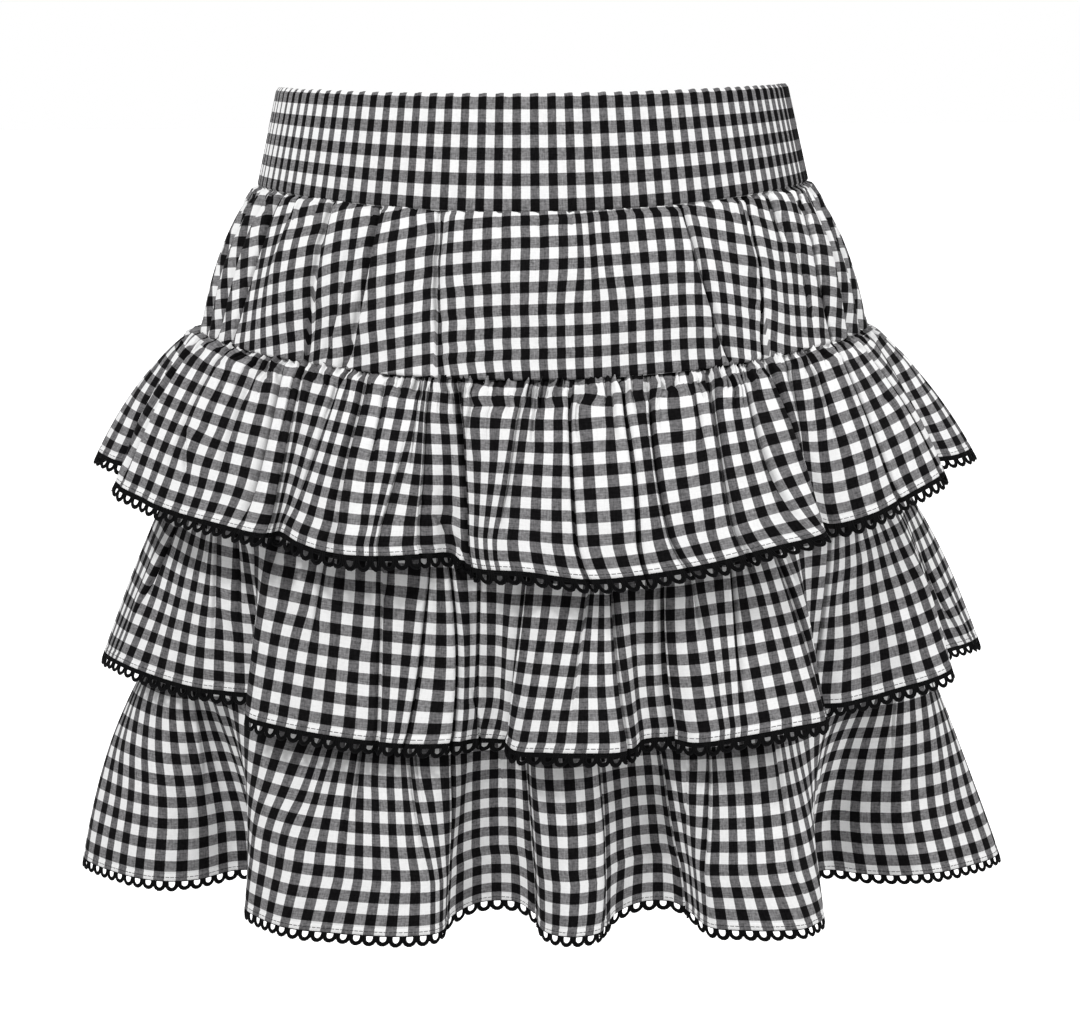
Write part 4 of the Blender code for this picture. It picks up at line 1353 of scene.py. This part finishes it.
def build_floor(colours):
    """A plain pale floor a wearer's height below, which keeps the soft shadow."""
    half = FLOOR_HALF
    mesh = bpy.data.meshes.new("studio_floor")
    mesh.from_pydata([(-half, -half, 0), (half, -half, 0), (half, half, 0), (-half, half, 0)],
                     [], [(0, 1, 2, 3)])
    floor = placed("studio_floor", mesh)
    floor.location.z = FLOOR_HEIGHT
    nodes = MaterialNodes("studio_floor")
    seen = nodes.seen()
    place = nodes.add("ShaderNodeTexCoord", {}, {}, output=3)
    away = nodes.add("ShaderNodeVectorMath", {"operation": "LENGTH"}, {0: place}, output=1)
    far = nodes.add("ShaderNodeMapRange", {}, {"Value": away, "From Min": 0.6, "From Max": 1.5,
                                               "To Min": 0.4, "To Max": 1.0})
    glow = nodes.mix(seen * far, (0, 0, 0, 1), (1, 1, 1, 1))
    mesh.materials.append(nodes.set({
        "Roughness": 0.9, "Specular IOR Level": 0.1, "Emission Strength": 1.0,
        "Base Color": opaque(colours.floor), "Emission Color": glow}))


def build_world(strength):
    """A white background over an even, softer light."""
    world = bpy.data.worlds.new("studio")
    world.use_nodes = True
    bpy.context.scene.world = world
    nodes = Nodes(world.node_tree)
    background = nodes.tree.nodes["Background"]
    background.inputs["Color"].default_value = (1, 1, 1, 1)
    nodes.feed(background.inputs["Strength"], strength + nodes.seen() * (1.0 - strength))


def add_lamp(name, place, size, power, target):
    """A soft square lamp turned to a target."""
    data = bpy.data.lights.new(name, "AREA")
    data.size = size
    data.energy = power
    lamp = placed(name, data)
    lamp.location = place
    lamp.rotation_euler = (Vector(target) - Vector(place)).to_track_quat("-Z", "Y").to_euler()


def build_camera():
    """The camera in front of the skort, a little tipped down and rolled."""
    data = bpy.data.cameras.new("camera")
    data.lens = FOCAL_LENGTH
    camera = placed("camera", data)
    tip = Matrix.Rotation(math.radians(CAMERA_TIP), 4, "X")
    roll = Matrix.Rotation(math.radians(CAMERA_ROLL), 4, "Z")
    camera.matrix_world = Matrix.Translation(CAMERA_PLACE) @ tip @ roll
    bpy.context.scene.camera = camera


# ---------------------------------------------------------------- add-on

def length(name, description, default):
    """A size in metres, shown in the scene's unit."""
    return bpy.props.FloatProperty(name=name, description=description, default=default,
                                   min=0.0, precision=5, subtype="DISTANCE", unit="LENGTH")


def factor(name, description, default):
    """A plain number."""
    return bpy.props.FloatProperty(name=name, description=description, default=default, min=0.0)


def tint(name, description, default):
    """A colour."""
    return bpy.props.FloatVectorProperty(name=name, description=description, default=default,
                                         size=3, min=0.0, max=1.0, subtype="COLOR")


class SkortSizes(bpy.types.PropertyGroup):
    """Sizes that a maker would change."""

    check_wide: length("Check width", "Width of one square of the gingham", 0.0052)
    check_tall: length("Check height", "Height of one square of the gingham", 0.00635)
    check_crispness: factor("Check crispness", "How sharp the edges of the squares are", 7.0)
    thread_pitch: length("Thread pitch", "Distance between two threads of the weave", 0.00042)
    thread_contrast: factor("Thread contrast", "How much single threads differ", 1.25)
    cloudiness: factor("Cloudiness", "How uneven the cloth's colour is", 0.16)
    weave_height: length("Weave height", "How far the threads stand out", 0.00012)
    cloth_thickness: length("Cloth thickness", "Thickness of the gingham", 0.00045)
    column_pitch: length("Column pitch", "Distance between two columns of a mesh", 0.0018)
    ruffle_fullness: factor("Ruffle fullness", "Cut width against the hem's own length", 1.10)
    yoke_fullness: factor("Yoke fullness", "Cut width against the yoke's own round", 1.04)
    band_fullness: factor("Band fullness", "Cut width against the waistband's own round", 1.04)
    hem_depth: length("Hem depth", "Height of the turned cloth above a hem", 0.0045)
    stitch_height: length("Stitch height", "Height of the stitching above a hem", 0.0021)
    stitch_length: length("Stitch length", "Length of one stitch and its gap", 0.0028)
    stitch_width: length("Stitch width", "Width of the sewing thread", 0.0005)
    lace_pitch: length("Lace pitch", "Distance between two loops of the lace", 0.0075)
    lace_drop: length("Lace drop", "How far the loops hang below a hem", 0.0066)
    lace_thread: length("Lace thread", "Width of the two cords of a scallop", 0.0025)
    rib_pitch: length("Rib pitch", "Distance between two ribs of the jersey", 0.0012)


class SkortColours(bpy.types.PropertyGroup):
    """Colours that a maker would change."""

    white: tint("White", "Squares where both threads are white", (0.86, 0.86, 0.86))
    pale_grey: tint("Pale grey", "White columns crossing black rows", (0.205, 0.202, 0.206))
    deep_grey: tint("Deep grey", "Black columns crossing white rows", (0.141, 0.138, 0.142))
    black: tint("Black", "Squares where both threads are black", (0.0055, 0.0052, 0.0056))
    thread: tint("Sewing thread", "Thread of the stitching", (0.03, 0.03, 0.032))
    lace: tint("Lace", "Cord of the edging", (0.0035, 0.0035, 0.0038))
    jersey: tint("Jersey", "Cloth of the inner shorts", (0.014, 0.014, 0.016))
    floor: tint("Floor", "Plain floor below", (0.85, 0.85, 0.85))


def settings(context):
    """The sizes and the colours that the scene holds."""
    return context.scene.skort_sizes, context.scene.skort_colours


class SKORT_OT_waistband(bpy.types.Operator):
    """Makes the shirred waistband"""

    bl_idname = "skort.waistband"
    bl_label = "Waistband"

    def execute(self, context):
        sizes, colours = settings(context)
        build_band(sizes, gingham_material("gingham_band", sizes, colours))
        return {"FINISHED"}


class SKORT_OT_yoke(bpy.types.Operator):
    """Makes the yoke below the waistband"""

    bl_idname = "skort.yoke"
    bl_label = "Yoke"

    def execute(self, context):
        sizes, colours = settings(context)
        build_yoke(sizes, gingham_material("gingham_yoke", sizes, colours))
        return {"FINISHED"}


class SKORT_OT_base(bpy.types.Operator):
    """Makes the panels under the ruffles"""

    bl_idname = "skort.base"
    bl_label = "Base panels"

    def execute(self, context):
        sizes, colours = settings(context)
        build_base(sizes, gingham_material("gingham_base", sizes, colours))
        return {"FINISHED"}


class SKORT_OT_ruffles(bpy.types.Operator):
    """Makes the three ruffles and the lace along their hems"""

    bl_idname = "skort.ruffles"
    bl_label = "Ruffles and lace"

    def execute(self, context):
        sizes, colours = settings(context)
        cloth = gingham_material("gingham_ruffle", sizes, colours, (sizes.stitch_height,))
        lace = lace_material(colours)
        for number, ruffle in enumerate(RUFFLES, 1):
            hem_lines = build_ruffle(number, ruffle, sizes, cloth)
            build_lace(number, hem_lines, sizes, lace)
        return {"FINISHED"}


class SKORT_OT_shorts(bpy.types.Operator):
    """Makes the inner shorts"""

    bl_idname = "skort.shorts"
    bl_label = "Inner shorts"

    def execute(self, context):
        sizes, colours = settings(context)
        build_shorts(sizes, jersey_material(sizes, colours))
        return {"FINISHED"}


class SKORT_OT_stage(bpy.types.Operator):
    """Makes the floor, the light and the camera"""

    bl_idname = "skort.stage"
    bl_label = "Stage"

    def execute(self, context):
        _, colours = settings(context)
        build_floor(colours)
        build_world(SKY_STRENGTH)
        for lamp in LAMPS:
            add_lamp(*lamp, LAMP_TARGET)
        build_camera()
        context.scene.view_settings.view_transform = "Standard"
        return {"FINISHED"}


OPERATORS = (SKORT_OT_waistband, SKORT_OT_yoke, SKORT_OT_base, SKORT_OT_ruffles,
             SKORT_OT_shorts, SKORT_OT_stage)


class SKORT_PT_sidebar(bpy.types.Panel):
    """Lists the skort's steps, sizes and colours"""

    bl_idname = "SKORT_PT_sidebar"
    bl_label = "Skort"
    bl_space_type = "VIEW_3D"
    bl_region_type = "UI"
    bl_category = "Skort"

    def draw(self, context):
        for operator in OPERATORS:
            self.layout.operator(operator.bl_idname)
        for group in settings(context):
            box = self.layout.box()
            for name in group.__annotations__:
                box.prop(group, name)


CLASSES = (SkortSizes, SkortColours, *OPERATORS, SKORT_PT_sidebar)


def register():
    """Adds the classes and their settings to Blender."""
    for made in CLASSES:
        bpy.utils.register_class(made)
    bpy.types.Scene.skort_sizes = bpy.props.PointerProperty(type=SkortSizes)
    bpy.types.Scene.skort_colours = bpy.props.PointerProperty(type=SkortColours)


def unregister():
    """Takes the classes and their settings out again."""
    del bpy.types.Scene.skort_colours
    del bpy.types.Scene.skort_sizes
    for made in reversed(CLASSES):
        bpy.utils.unregister_class(made)


def main():
    """Makes every piece in order."""
    register()
    bpy.ops.skort.waistband()
    bpy.ops.skort.yoke()
    bpy.ops.skort.base()
    bpy.ops.skort.ruffles()
    bpy.ops.skort.shorts()
    bpy.ops.skort.stage()


if __name__ == "__main__":
    main()
